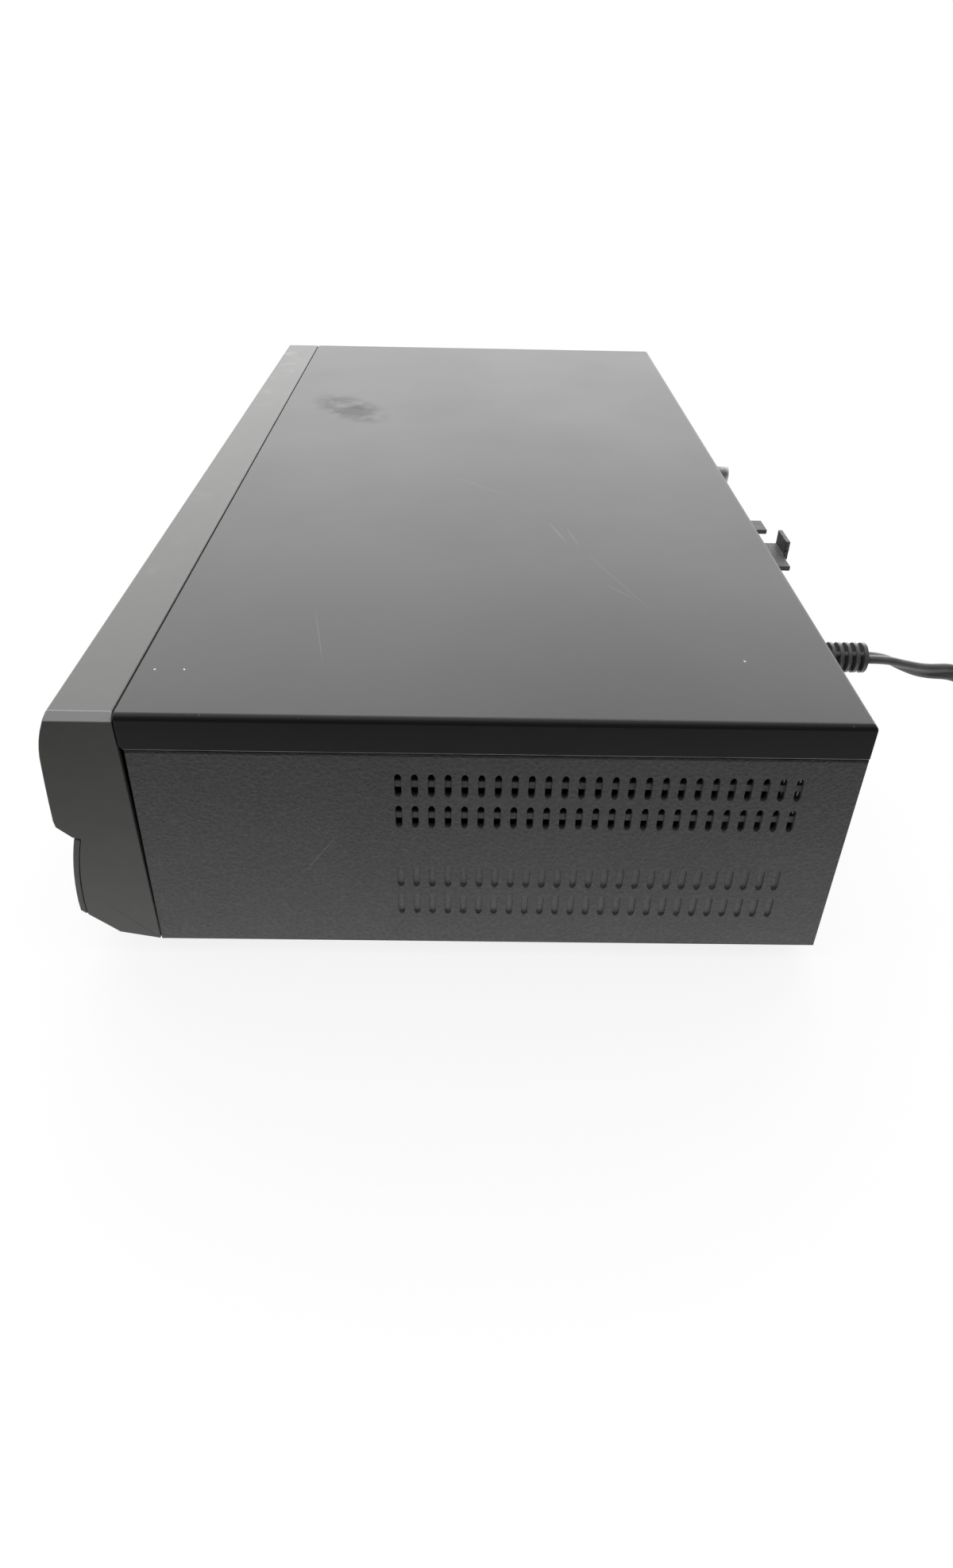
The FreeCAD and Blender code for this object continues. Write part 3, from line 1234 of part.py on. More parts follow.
def cord_points():
    x = RELIEF_X - 143.9
    z = RELIEF_Z - 67.3 - 6.4
    y = BODY_DEPTH + RELIEF_REACH - 239.0
    far = coil_point(0.0)
    lead = far - coil_tangent(0.0) * 18.3
    shown = [(143.9, 239.0, 73.7), (143.9, 247.0, 73.7), (143.4, 257.0, 71.4), (141.9, 268.0, 66.4),
             (142.3, 283.2, 52.4), (141.5, 294.2, 37.8), (141.3, 305.2, 23.1), (134.0, 314.1, 9.8)]
    points = [V(a + x, b + y, c + z) for a, b, c in shown]
    return points + [lead, far]


def power_cord():
    points = cord_points()
    edges = route_path(points, "free stretch")
    half = CORD_DIAMETER / 2
    corners = [(half * math.cos(math.radians(45 * k)), half * math.sin(math.radians(45 * k))) for k in range(8)]
    return pipe(edges, points[0], unit(points[1] - points[0]), corners)


def cord_coil():
    edges = coil_path()
    last = 2 * COIL_TURNS + 0.5
    end = coil_point(last)
    edges.append(Part.LineSegment(end, end + coil_tangent(last) * COIL_LEAD).toShape())
    a = CORD_THICK / 2
    b = CORD_WIDE / 2
    return pipe(edges, coil_point(0.0), coil_tangent(0.0), [(-a, -b), (a, -b), (a, b), (-a, b)])


def coil_gap():
    # Turns side by side lie their thickness apart, layers their width.
    points = []
    count = int((2 * COIL_TURNS + 0.5) * 90)
    for n in range(count + 1):
        points.append(coil_point(n / 90))
    least = 1e9
    for i in range(len(points)):
        for j in range(i + 30, len(points)):
            apart = points[j] - points[i]
            beside = math.hypot(apart.x, apart.y) - CORD_THICK
            above = abs(apart.z) - CORD_WIDE
            least = min(least, max(beside, above))
    length = sum(points[n].distanceToPoint(points[n + 1]) for n in range(count))
    print("coil: least gap", round(least, 2), "length", round(length + COIL_LEAD, 1))


def plug_ring(wide, high, z):
    a = wide / 2
    b = high / 2
    points = [V(-a, -b, z), V(a, -b, z), V(a, b, z), V(-a, b, z)]
    return Part.makePolygon(points + points[:1])


def power_plug():
    # Built standing on its cord end, then laid along the coil's last run.
    last = 2 * COIL_TURNS + 0.5
    t = coil_tangent(last)
    end = coil_point(last) + t * COIL_LEAD
    high = 2 * (end.z - FLOOR_Z) - 0.2
    rings = [plug_ring(9.0, 8.0, 0), plug_ring(PLUG_WIDE, high, PLUG_NOSE), plug_ring(PLUG_WIDE, high, PLUG_LENGTH)]
    pieces = [Part.makeLoft(rings, True, True)]
    for side in (-1, 1):
        x = side * BLADE_SPAN / 2
        blade = box(x - 0.75, x + 0.75, -3.15, 3.15, PLUG_LENGTH - 0.5, PLUG_LENGTH + BLADE_LENGTH)
        pieces.append(blade.cut(rod(x - 2, 0, PLUG_LENGTH + BLADE_LENGTH - 4.0, 1.6, 4, (1, 0, 0))))
    plug = join(pieces)
    up = V(0, 0, 1)
    plug.Placement = FreeCAD.Placement(end, FreeCAD.Rotation(up.cross(t), up, t, "ZYX"))
    return plug


def main():
    os.makedirs("parts", exist_ok=True)
    save("base_pan", base_pan())
    save("feet", feet())
    save("right_side_panel", side_panel(True))
    save("left_side_panel", mirror_x(side_panel(False)))
    save("top_cover", top_cover())
    save("cover_screws", cover_screws())
    save("rear_panel", rear_panel())
    save("cord_hook", cord_hook())
    save("strain_relief", strain_relief())
    save("front_bezel", front_bezel())
    save("lower_trim", lower_trim())
    save("control_door", control_door())
    save("display_window", display_window())
    save("cassette_door", cassette_door())
    for name, sizes in BUTTONS.items():
        save(name, button(*sizes))
    save("front_board", front_board())
    save("display_tube", display_tube())
    save("front_jacks", front_jacks())
    save("main_board", main_board())
    save("power_transformer", power_transformer())
    save("capacitors", capacitors())
    save("heat_sink", heat_sink())
    save("tuner_module", tuner_module())
    save("rear_jacks", rear_jacks())
    save("deck_plate", deck_plate())
    save("lower_drum", lower_drum())
    save("upper_drum", upper_drum())
    save("capstan_motor", capstan_motor())
    save("capstan", capstan())
    save("clutch_pulley", clutch_pulley())
    save("drive_belt", drive_belt())
    save("supply_reel", reel(REELS[0]))
    save("takeup_reel", reel(REELS[1]))
    save("idler_arm", idler_arm())
    save("idler_wheel", idler_wheel())
    save("cam_gear", cam_gear())
    save("loading_motor", loading_motor())
    save("loading_pinion", loading_pinion())
    save("supply_guide", tape_guide(-1))
    save("takeup_guide", tape_guide(1))
    save("pinch_arm", pinch_arm())
    save("pinch_roller", pinch_roller())
    save("tension_arm", tension_arm())
    save("erase_head", erase_head())
    save("control_head", control_head())
    save("carriage_frame", carriage_frame())
    save("carriage_sliders", carriage_sliders())
    save("cassette_basket", cassette_basket())
    coil_gap()
    save("power_cord", power_cord())
    save("cord_coil", cord_coil())
    save("power_plug", power_plug())


main()
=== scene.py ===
import json
import math

import bmesh
import bpy
import numpy as np
from mathutils import Matrix, Vector

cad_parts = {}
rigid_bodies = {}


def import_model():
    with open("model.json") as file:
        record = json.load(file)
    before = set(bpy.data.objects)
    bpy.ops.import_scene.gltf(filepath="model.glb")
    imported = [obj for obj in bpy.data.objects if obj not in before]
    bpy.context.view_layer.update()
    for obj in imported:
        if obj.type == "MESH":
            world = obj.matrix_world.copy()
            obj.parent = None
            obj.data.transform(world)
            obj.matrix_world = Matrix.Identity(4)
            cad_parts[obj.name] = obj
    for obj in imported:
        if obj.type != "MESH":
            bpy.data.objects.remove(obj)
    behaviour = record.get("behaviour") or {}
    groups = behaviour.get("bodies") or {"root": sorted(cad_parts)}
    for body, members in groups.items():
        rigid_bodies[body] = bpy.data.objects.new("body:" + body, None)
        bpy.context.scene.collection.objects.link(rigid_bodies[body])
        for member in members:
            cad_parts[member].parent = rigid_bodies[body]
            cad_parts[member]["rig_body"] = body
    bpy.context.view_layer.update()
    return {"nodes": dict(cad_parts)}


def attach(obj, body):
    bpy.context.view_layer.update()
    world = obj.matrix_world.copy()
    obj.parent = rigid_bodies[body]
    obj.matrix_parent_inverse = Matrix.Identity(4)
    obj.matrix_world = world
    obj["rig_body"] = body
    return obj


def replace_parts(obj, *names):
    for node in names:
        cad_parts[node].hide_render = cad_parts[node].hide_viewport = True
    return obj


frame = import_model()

nodes = frame["nodes"]
scene = bpy.context.scene
print("frame loaded with", len(nodes), "nodes")


# The camera stands where the photograph's edges and corners put it, over the right-hand end and looking down.

cameraView = {
    "place": (0.4403, -0.0094, 0.2435), "turn": -0.862, "tilt": 33.931, "roll": 1.271,
    "lens": 22.22, "sensor": 36, "shiftY": -0.0397, "clipStart": 0.01,
}


def placeCamera():
    view = cameraView
    turn, tilt, roll = (math.radians(view[name]) for name in ("turn", "tilt", "roll"))
    ahead = Vector((-math.cos(turn) * math.cos(tilt), -math.sin(turn) * math.cos(tilt), -math.sin(tilt)))
    right = ahead.cross(Vector((0, 0, 1))).normalized()
    up = right.cross(ahead)
    rolledRight = right * math.cos(roll) + up * math.sin(roll)
    rolledUp = up * math.cos(roll) - right * math.sin(roll)
    facing = Matrix((rolledRight, rolledUp, -ahead)).transposed().to_4x4()
    lens = bpy.data.cameras.new("camera")
    lens.lens = view["lens"]
    lens.sensor_width = view["sensor"]
    lens.shift_y = view["shiftY"]
    lens.clip_start = view["clipStart"]
    camera = bpy.data.objects.new("camera", lens)
    camera.matrix_world = Matrix.Translation(view["place"]) @ facing
    scene.collection.objects.link(camera)
    scene.camera = camera


placeCamera()
print("camera placed")


# Pieces made here have finishes that the frame's slots don't name. They are given at the end, with all the others.

finishLater = []


def surface(name, grid, finish, caps=False):
    # A grid of points, rows along and columns around, becomes a tube of quads. Caps close its first and last rows.
    rows, columns = grid.shape[:2]
    r, c = np.meshgrid(np.arange(rows - 1), np.arange(columns), indexing="ij")
    r2, c2 = r + 1, (c + 1) % columns
    corners = (r * columns + c, r * columns + c2, r2 * columns + c2, r2 * columns + c)
    faces = np.stack(corners, axis=-1).reshape(-1, 4).tolist()
    if caps:
        faces.append(list(range(columns))[::-1])
        faces.append(list(range((rows - 1) * columns, rows * columns)))
    mesh = bpy.data.meshes.new(name)
    mesh.from_pydata(grid.reshape(-1, 3).tolist(), [], faces)
    work = bmesh.new()
    work.from_mesh(mesh)
    bmesh.ops.remove_doubles(work, verts=work.verts, dist=1e-7)
    bmesh.ops.recalc_face_normals(work, faces=work.faces)
    work.to_mesh(mesh)
    work.free()
    mesh.shade_smooth()
    piece = bpy.data.objects.new(name, mesh)
    scene.collection.objects.link(piece)
    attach(piece, "case")
    finishLater.append((piece, finish))
    return piece


def creased(piece, angle):
    piece.data.set_sharp_from_angle(angle=math.radians(angle))
    return piece


def aroundAngles(columns):
    return np.linspace(0, 2 * math.pi, columns, endpoint=False)


def squared(around, power):
    # A circle's two coordinates at power 1, and those of a rounded square below it
    cosine, sine = np.cos(around), np.sin(around)
    return np.sign(cosine) * np.abs(cosine) ** power, np.sign(sine) * np.abs(sine) ** power


def ringsAlongY(x, along, z, across, rise):
    return np.stack([x + across, np.broadcast_to(along, across.shape), z + rise], axis=-1)


# Flat two-core cord: out of the relief, down to the floor, then the unseen length in a coil of two layers.

cordShape = {
    "route": [
        (0.1439, 0.131575, 0.0737), (0.1439, 0.1385, 0.0738), (0.1429, 0.1472, 0.0701), (0.1415, 0.1562, 0.0670),
        (0.1410, 0.1675, 0.0670), (0.1412, 0.1792, 0.0592), (0.1413, 0.1895, 0.0430), (0.1400, 0.1985, 0.0235),
        (0.134, 0.206675, 0.0098),
    ],
    "coilMiddle": (0.1428, 0.257875), "coilRadius": 0.042, "pitch": 0.004, "layer": 0.0068, "turns": 3.5,
    "climb": 0.5, "dip": 0.0025, "low": 0.0031, "start": 218.0, "pointsPerTurn": 24, "runIn": 0.0183, "lead": 0.025,
    "wide": 0.006, "thick": 0.003, "web": 0.00095, "blend": 6, "fill": 0.985, "columns": 32, "length": 1.81,
    "twist": [(0.0, 0), (0.006, 0), (0.014, 34), (0.027, 82), (0.042, 124), (0.058, 126), (0.115, 90), (9.0, 90)],
    "twistSpread": 6,
}


def coilPoints(turn, reach=1.0):
    # Radius shrinks a pitch a turn, dips while it climbs half a turn, then grows again one layer up.
    c = cordShape
    inner = c["coilRadius"] - c["turns"] * c["pitch"]
    climbed = c["turns"] + c["climb"]
    share = np.clip((turn - c["turns"]) / c["climb"], 0, 1)
    falling = c["coilRadius"] - c["pitch"] * turn
    climbing = inner - c["dip"] * np.sin(math.pi * share)
    growing = inner + c["pitch"] * (turn - climbed)
    radius = np.where(turn < c["turns"], falling, np.where(turn < climbed, climbing, growing)) * reach
    height = c["low"] + c["layer"] * (1 - np.cos(math.pi * share)) / 2
    angle = math.radians(c["start"]) - 2 * math.pi * turn
    middleX, middleY = c["coilMiddle"]
    return np.stack([middleX + radius * np.cos(angle), middleY + radius * np.sin(angle), height], axis=-1)


def coilHeading(turn):
    step = coilPoints(np.array([turn - 1e-4, turn + 1e-4]))
    ahead = step[1] - step[0]
    return ahead / np.linalg.norm(ahead)


def cordLine():
    # The route's points and the coil's are the control points of one smooth spline, which is then read as points.
    c = cordShape
    total = 2 * c["turns"] + c["climb"]
    turn = np.arange(1, int(total * c["pointsPerTurn"])) / c["pointsPerTurn"]
    reach = 1 / math.cos(math.pi / c["pointsPerTurn"])
    first, last = coilPoints(np.array([0.0, total]))
    control = np.vstack([
        c["route"], first - coilHeading(0.0) * c["runIn"], first, coilPoints(turn, reach),
        last, last + coilHeading(total) * c["lead"],
    ])
    curve = bpy.data.curves.new("cordLine", "CURVE")
    curve.dimensions = "3D"
    spline = curve.splines.new("NURBS")
    spline.points.add(len(control) - 1)
    spline.points.foreach_set("co", np.column_stack([control, np.ones(len(control))]).ravel())
    spline.order_u = 3
    spline.use_endpoint_u = True
    spline.resolution_u = 8
    holder = bpy.data.objects.new("cordLine", curve)
    mesh = bpy.data.meshes.new_from_object(holder)
    line = np.zeros(len(mesh.vertices) * 3)
    mesh.vertices.foreach_get("co", line)
    bpy.data.objects.remove(holder)
    return line.reshape(-1, 3)


def alongLine(line):
    steps = np.linalg.norm(np.diff(line, axis=0), axis=1)
    ahead = np.gradient(line, axis=0)
    return np.concatenate([[0], np.cumsum(steps)]), ahead / np.linalg.norm(ahead, axis=1, keepdims=True)


def flatCord():
    # Section: two round cores side by side with a web between, turned about the line by the twist.
    c = cordShape
    line = cordLine()
    far, ahead = alongLine(line)
    side = np.cross(ahead, (0, 0, 1))
    side /= np.linalg.norm(side, axis=1, keepdims=True)
    upward = np.cross(side, ahead)
    places, angles = np.array(c["twist"]).T
    turned = np.pad(np.radians(np.interp(far, places, angles)), c["twistSpread"], mode="edge")
    window = 2 * c["twistSpread"] + 1
    turned = np.convolve(turned, np.ones(window) / window, mode="valid")
    wideWay = side * np.cos(turned)[:, None] + upward * np.sin(turned)[:, None]
    thinWay = np.cross(ahead, wideWay)
    around = aroundAngles(c["columns"])
    core, power = c["thick"] / 2, c["blend"]
    across = c["wide"] / 2 * np.cos(around)
    bulge = np.sqrt(np.maximum(core ** 2 - (np.abs(across) - core) ** 2, 0))
    web = np.where(np.abs(across) < core, c["web"], c["web"] * (bulge / core))
    half = (bulge ** power + web ** power) ** (1 / power) * c["fill"]
    thin = half * np.sign(np.sin(around) + 1e-9)
    grid = line[:, None] + across[None, :, None] * wideWay[:, None] + thin[None, :, None] * thinWay[:, None]
    return surface("flat_cord", grid, "cord_rubber", caps=True), line


plugShape = {
    "nose": 0.014, "long": 0.026, "wide": 0.022, "floorGap": 0.0002, "neckWide": 0.0038, "neckHigh": 0.003,
    "rim": 0.0008, "grip": 0.0005, "gripFrom": 0.003, "ribs": 5, "square": 0.55, "columns": 48,
    "bladeSpan": 0.0127, "bladeLong": 0.0175, "bladeWide": 0.0063, "bladeThick": 0.0015, "bladeEdge": 0.0003,
    "bladeCorner": 0.0012, "bladeRoot": 0.0005, "hole": 0.0016, "holeFromTip": 0.004,
}


def plugFrame(line):
    ahead = line[-1] - line[-2]
    ahead /= np.linalg.norm(ahead)
    side = np.cross((0, 0, 1), ahead)
    return line[-1], side / np.linalg.norm(side), np.array((0.0, 0.0, 1.0)), ahead


def plugBody(line):
    # Rounded-square rings swell from the cord to the body, with grip grooves across the sides near the nose.
    p = plugShape
    end, side, upward, ahead = plugFrame(line)
    high = 2 * end[2] - p["floorGap"]
    rimFrom = p["long"] - p["rim"]
    rounding = 1 - np.sin(np.linspace(0, math.pi / 2, 5)[1:])
    along = np.concatenate([
        np.linspace(0, p["nose"], 34), np.linspace(p["nose"], rimFrom, 12)[1:], p["long"] - p["rim"] * rounding,
    ])
    swell = np.clip(along / p["nose"], 0, 1)
    swell = swell * swell * (3 - 2 * swell)
    rim = np.clip((along - rimFrom) / p["rim"], 0, 1)
    inset = p["rim"] * (1 - np.sqrt(1 - rim ** 2))
    gripped = (along > p["gripFrom"]) * (along < p["nose"] - p["grip"])
    grip = p["grip"] * np.clip(np.sin(along / p["nose"] * math.pi * 2 * p["ribs"]), 0, 1) * gripped
    halfWide = p["neckWide"] + (p["wide"] / 2 - p["neckWide"]) * swell - inset - grip
    halfHigh = p["neckHigh"] + (high / 2 - p["neckHigh"]) * swell - inset - grip * 0.4
    across, rise = squared(aroundAngles(p["columns"]), p["square"])
    grid = end + along[:, None, None] * ahead + (halfWide[:, None] * across)[..., None] * side
    grid = grid + (halfHigh[:, None] * rise)[..., None] * upward
    return creased(surface("plug_body", grid, "cord_rubber", caps=True), 50)


def plugBlade(line, sign):
    # A flat sheet between the hole's circle and the blade's outline, thickened afterwards.
    p = plugShape
    end, side, upward, ahead = plugFrame(line)
    around = aroundAngles(p["columns"])
    cosine, sine = np.cos(around), np.sin(around)
    holeAt = p["long"] + p["bladeLong"] - p["holeFromTip"]
    tip = p["bladeLong"] + p["long"] - holeAt
    root = holeAt - p["long"] + p["bladeRoot"]
    half = p["bladeWide"] / 2
    toEnds = np.where(cosine > 0, tip, root) / np.maximum(np.abs(cosine), 1e-6)
    toSides = half / np.maximum(np.abs(sine), 1e-6)
    slanted = np.maximum(np.abs(cosine) * (cosine > 0) + np.abs(sine), 1e-6)
    toCorners = (tip + half - p["bladeCorner"]) / slanted + 1.0 * (cosine <= 0)
    reach = np.minimum(np.minimum(toEnds, toSides), toCorners)
    share = np.linspace(0, 1, 4)[:, None]
    radius = p["hole"] * (1 - share) + reach * share
    grid = end + (holeAt + radius * cosine)[..., None] * ahead + (radius * sine)[..., None] * upward
    grid = grid + sign * p["bladeSpan"] / 2 * side
    piece = surface("plug_blade_" + ("left" if sign < 0 else "right"), grid, "blade_brass")
    thick = piece.modifiers.new("thick", "SOLIDIFY")
    thick.thickness, thick.offset = p["bladeThick"], 0
    soft = piece.modifiers.new("soft", "BEVEL")
    soft.width, soft.segments, soft.limit_method = p["bladeEdge"], 2, "ANGLE"
    return creased(piece, 35)


reliefShape = {
    "x": 0.1439, "z": 0.0737, "ringsFrom": 0.11, "pitch": 0.0028, "rings": 8, "outer": 0.0053, "inner": 0.0031,
    "before": 0.0014, "after": 0.0016, "lastRing": 0.0011, "shift": 0.02, "steep": 2.6, "columns": 96,
    "spine": 0.34, "spineHigh": 0.86, "spineEdge": 0.05, "nose": 0.131575, "noseRadius": 0.0034, "square": 0.5,
    "squares": [
        (0.1008, 0.0001), (0.1008, 0.0052), (0.1036, 0.0052), (0.1036, 0.0039),
        (0.1060, 0.0039), (0.1060, 0.0056), (0.1081, 0.0056), (0.1086, 0.0050),
    ],
}


def strainRelief():
    # Rings of a wide radius with four spines between them: the radius follows a squared wave along the axis, filled up
    # again where the angle is near a spine. Inside the rear panel the section turns into rounded squares.
    c = reliefShape
    around = aroundAngles(c["columns"])
    last = c["ringsFrom"] + c["pitch"] * (c["rings"] - 1) + c["after"]
    along = np.concatenate([
        np.linspace(c["ringsFrom"] - c["before"], last, 150), np.linspace(last, c["nose"], 12)[1:],
    ])
    phase = (along - c["ringsFrom"]) / c["pitch"]
    wave = np.clip(np.sin(2 * math.pi * (phase - c["shift"])) * c["steep"] + 0.5, 0, 1)
    wave = np.where((phase < 0) | (along > last - c["lastRing"]), 1.0, wave)
    nearSpine = np.clip((np.abs(np.sin(2 * around)) - math.cos(c["spine"])) / c["spineEdge"] + 0.5, 0, 1)
    filled = np.maximum(wave[:, None], c["spineHigh"] * nearSpine[None, :])
    radius = c["inner"] + (c["outer"] - c["inner"]) * filled
    nose = np.clip((along - last) / (c["nose"] - last), 0, 1)[:, None]
    radius = radius * (1 - nose) + c["noseRadius"] * nose
    squareAlong, squareHalf = np.array(c["squares"]).T
    radius = np.concatenate([np.repeat(squareHalf[:, None], len(around), axis=1), radius])
    power = np.concatenate([np.full(len(squareAlong), c["square"]), np.ones(len(along))])
    across, rise = squared(around, power[:, None])
    along = np.concatenate([squareAlong, along])[:, None]
    grid = ringsAlongY(c["x"], along, c["z"], across * radius, rise * radius)
    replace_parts(creased(surface("relief_boot", grid, "cord_rubber", caps=True), 40), "strain_relief")


strainRelief()
print("strain relief moulded")


aerialThread = {
    "x": -0.032, "heights": (0.0774, 0.0584), "from": 0.1091, "to": 0.1203, "radius": 0.00472, "depth": 0.00032,
    "pitch": 0.00079, "sunk": 0.0003, "runOut": 0.0004, "rows": 112, "columns": 40,
}


def threadSleeve(number, height):
    # A helical ridge: the radius rises and falls with the distance along the axis less the share of a turn.
    c = aerialThread
    around = aroundAngles(c["columns"])
    along = np.linspace(c["from"], c["to"], c["rows"])[:, None]
    turn = (along - c["from"]) / c["pitch"] - around[None, :] / (2 * math.pi)
    ridge = np.abs((turn % 1.0) - 0.5) * 2
    ends = np.clip(np.minimum(along - c["from"], c["to"] - along) / c["runOut"], 0, 1)
    radius = c["radius"] - c["sunk"] + (c["sunk"] + c["depth"] * ridge) * ends
    grid = ringsAlongY(c["x"], along, height, radius * np.cos(around), radius * np.sin(around))
    creased(surface("aerial_thread_%d" % number, grid, "thread_zinc"), 30)


for number, height in enumerate(aerialThread["heights"]):
    threadSleeve(number, height)
print("aerial threads cut")

cordPiece, cordPath = flatCord()
plugPieces = [plugBody(cordPath), plugBlade(cordPath, -1), plugBlade(cordPath, 1)]
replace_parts(cordPiece, "power_cord", "cord_coil")
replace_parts(plugPieces[0], "power_plug")
print("cord laid,", round(float(alongLine(cordPath)[0][-1]), 3), "m")


# Pressed and moulded pieces take their shape from the frame, with their edges broken as the real ones are.

edgeBreaks = {
    "top_cover": 0.0003, "right_side_panel": 0.00018, "left_side_panel": 0.00018, "front_bezel": 0.0003,
    "lower_trim": 0.0003, "control_door": 0.0003, "cassette_door": 0.0003, "display_window": 0.0002,
    "rear_panel": 0.00015, "cord_hook": 0.0003, "feet": 0.0004, "base_pan": 0.00015, "cover_screws": 0.0001,
    "rear_jacks": 0.00015, "front_jacks": 0.00015, "tuner_module": 0.00015, "cassette_basket": 0.00015,
    "carriage_frame": 0.00015, "carriage_sliders": 0.0002, "supply_reel": 0.0002, "takeup_reel": 0.0002,
    "upper_drum": 0.0001, "lower_drum": 0.0001,
}
for key in ("power", "channel_down", "channel_up", "eject", "rewind", "play", "fast_forward", "record", "stop", "pause"):
    edgeBreaks[key + "_button"] = 0.0003

softening = {"weld": 2e-6, "flat": 0.5, "sharp": 32, "broken": 40, "segments": 2}


def softened(name, edge):
    s = softening
    source = nodes[name]
    mesh = source.data.copy()
    work = bmesh.new()
    work.from_mesh(mesh)
    bmesh.ops.remove_doubles(work, verts=work.verts, dist=s["weld"])
    if name != "front_bezel":
        bmesh.ops.dissolve_limit(work, angle_limit=math.radians(s["flat"]), verts=work.verts, edges=work.edges)
    work.to_mesh(mesh)
    work.free()
    if "custom_normal" in mesh.attributes:
        mesh.attributes.remove(mesh.attributes["custom_normal"])
    mesh.shade_smooth()
    mesh.set_sharp_from_angle(angle=math.radians(s["sharp"]))
    piece = bpy.data.objects.new(name + "_finished", mesh)
    scene.collection.objects.link(piece)
    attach(piece, source["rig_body"])
    soft = piece.modifiers.new("brokenEdges", "BEVEL")
    soft.width, soft.segments = edge, s["segments"]
    soft.limit_method, soft.angle_limit = "ANGLE", math.radians(s["broken"])
    soft.use_clamp_overlap = False
    even = piece.modifiers.new("evenShading", "WEIGHTED_NORMAL")
    even.keep_sharp = True
    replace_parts(piece, name)
    return piece


finished = {name: softened(name, edge) for name, edge in edgeBreaks.items()}
print("edges broken on", len(finished), "pieces")


# Materials

def feed(tree, socket, value):
    if isinstance(value, Wire):
        tree.links.new(value.socket, socket)
    else:
        socket.default_value = value


def mathsNode(tree, operation, *values):
    made = tree.nodes.new("ShaderNodeMath")
    made.operation = operation
    for slotNumber, value in enumerate(values):
        feed(tree, made.inputs[slotNumber], value)
    return Wire(tree, made.outputs[0])


class Wire:
    # One socket of a material. Its operators add Math nodes.
    def __init__(self, tree, socket):
        self.tree, self.socket = tree, socket

    def maths(self, operation, *others):
        return mathsNode(self.tree, operation, self, *others)

    def __add__(self, other):
        return self.maths("ADD", other)

    def __radd__(self, other):
        return mathsNode(self.tree, "ADD", other, self)

    def __sub__(self, other):
        return self.maths("SUBTRACT", other)

    def __rsub__(self, other):
        return mathsNode(self.tree, "SUBTRACT", other, self)

    def __mul__(self, other):
        return self.maths("MULTIPLY", other)

    def __rmul__(self, other):
        return mathsNode(self.tree, "MULTIPLY", other, self)

    def __truediv__(self, other):
        return self.maths("DIVIDE", other)

    def __pow__(self, other):
        return self.maths("POWER", other)

    def __abs__(self):
        return self.maths("ABSOLUTE")

    def capped(self):
        return self.maths("MINIMUM", 1.0)

    def step(self, low, high):
        # 0 below low, 1 above high, smooth between
        made = self.tree.nodes.new("ShaderNodeMapRange")
        made.interpolation_type = "SMOOTHSTEP"
        for slotNumber, value in enumerate((self, low, high, 0.0, 1.0)):
            feed(self.tree, made.inputs[slotNumber], value)
        return Wire(self.tree, made.outputs[0])


def grey(level):
    return (level, level, level, 1.0)


def opaque(colour, gain=1.0, lift=0.0):
    return (*(channel * gain + lift for channel in colour), 1.0)


class Finish:
    def __init__(self, name):
        self.material = bpy.data.materials.new(name)
        self.material.use_nodes = True
        self.tree = self.material.node_tree
        self.tree.nodes.clear()
        self.place = self.node("TexCoord", out="Object")
        self.x, self.y, self.z = (self.node("SeparateXYZ", values={0: self.place}, out=n) for n in range(3))

    def node(self, kind, settings=None, values=None, out=0):
        made = self.tree.nodes.new("ShaderNode" + kind)
        for key, value in (settings or {}).items():
            setattr(made, key, value)
        for key, value in (values or {}).items():
            feed(self.tree, made.inputs[key], value)
        return Wire(self.tree, made.outputs[out])

    def noise(self, size, detail=2.0, rough=0.5, stretch=(1, 1, 1), seed=0.0):
        # size is the pattern's own scale in metres
        moved = (seed, seed * 0.7, seed * 1.3)
        where = self.node("Mapping", values={"Vector": self.place, "Location": moved, "Scale": stretch})
        values = {"Vector": where, "Scale": 1 / size, "Detail": detail, "Roughness": rough}
        return self.node("TexNoise", values=values)

    def cells(self, size, feature="F1"):
        return self.node("TexVoronoi", {"feature": feature}, {"Vector": self.place, "Scale": 1 / size})

    def mix(self, share, first, second):
        return self.node("Mix", {"data_type": "RGBA"}, {0: share, 6: first, 7: second}, out=2)

    def bump(self, height, depth, strength):
        return self.node("Bump", values={"Height": height, "Distance": depth, "Strength": strength})

    def patch(self, x, y, longHalf, shortHalf, angle, edge=0.5, first=None, second=None):
        # An oval spot on two axes, 1 inside and 0 outside
        a, b = first or self.x, second or self.y
        c, s = math.cos(math.radians(angle)), math.sin(math.radians(angle))
        u = ((a - x) * c + (b - y) * s) / longHalf
        v = ((b - y) * c - (a - x) * s) / shortHalf
        return 1 - (u * u + v * v).step(edge, 1.0)

    def scratch(self, ax, ay, bx, by, half):
        # A thin oval from one point to another
        across, up = bx - ax, by - ay
        angle = math.degrees(math.atan2(up, across))
        return self.patch((ax + bx) / 2, (ay + by) / 2, math.hypot(across, up) / 2, half, angle, 0.3)

    def output(self, made):
        output = self.tree.nodes.new("ShaderNodeOutputMaterial")
        self.tree.links.new(made.outputs[0], output.inputs[0])
        return self.material

    def shader(self, **values):
        made = self.tree.nodes.new("ShaderNodeBsdfPrincipled")
        for key, value in values.items():
            feed(self.tree, made.inputs[key.replace("_", " ")], value)
        return self.output(made)


def added(wires):
    first, *others = wires
    for other in others:
        first = first + other
    return first


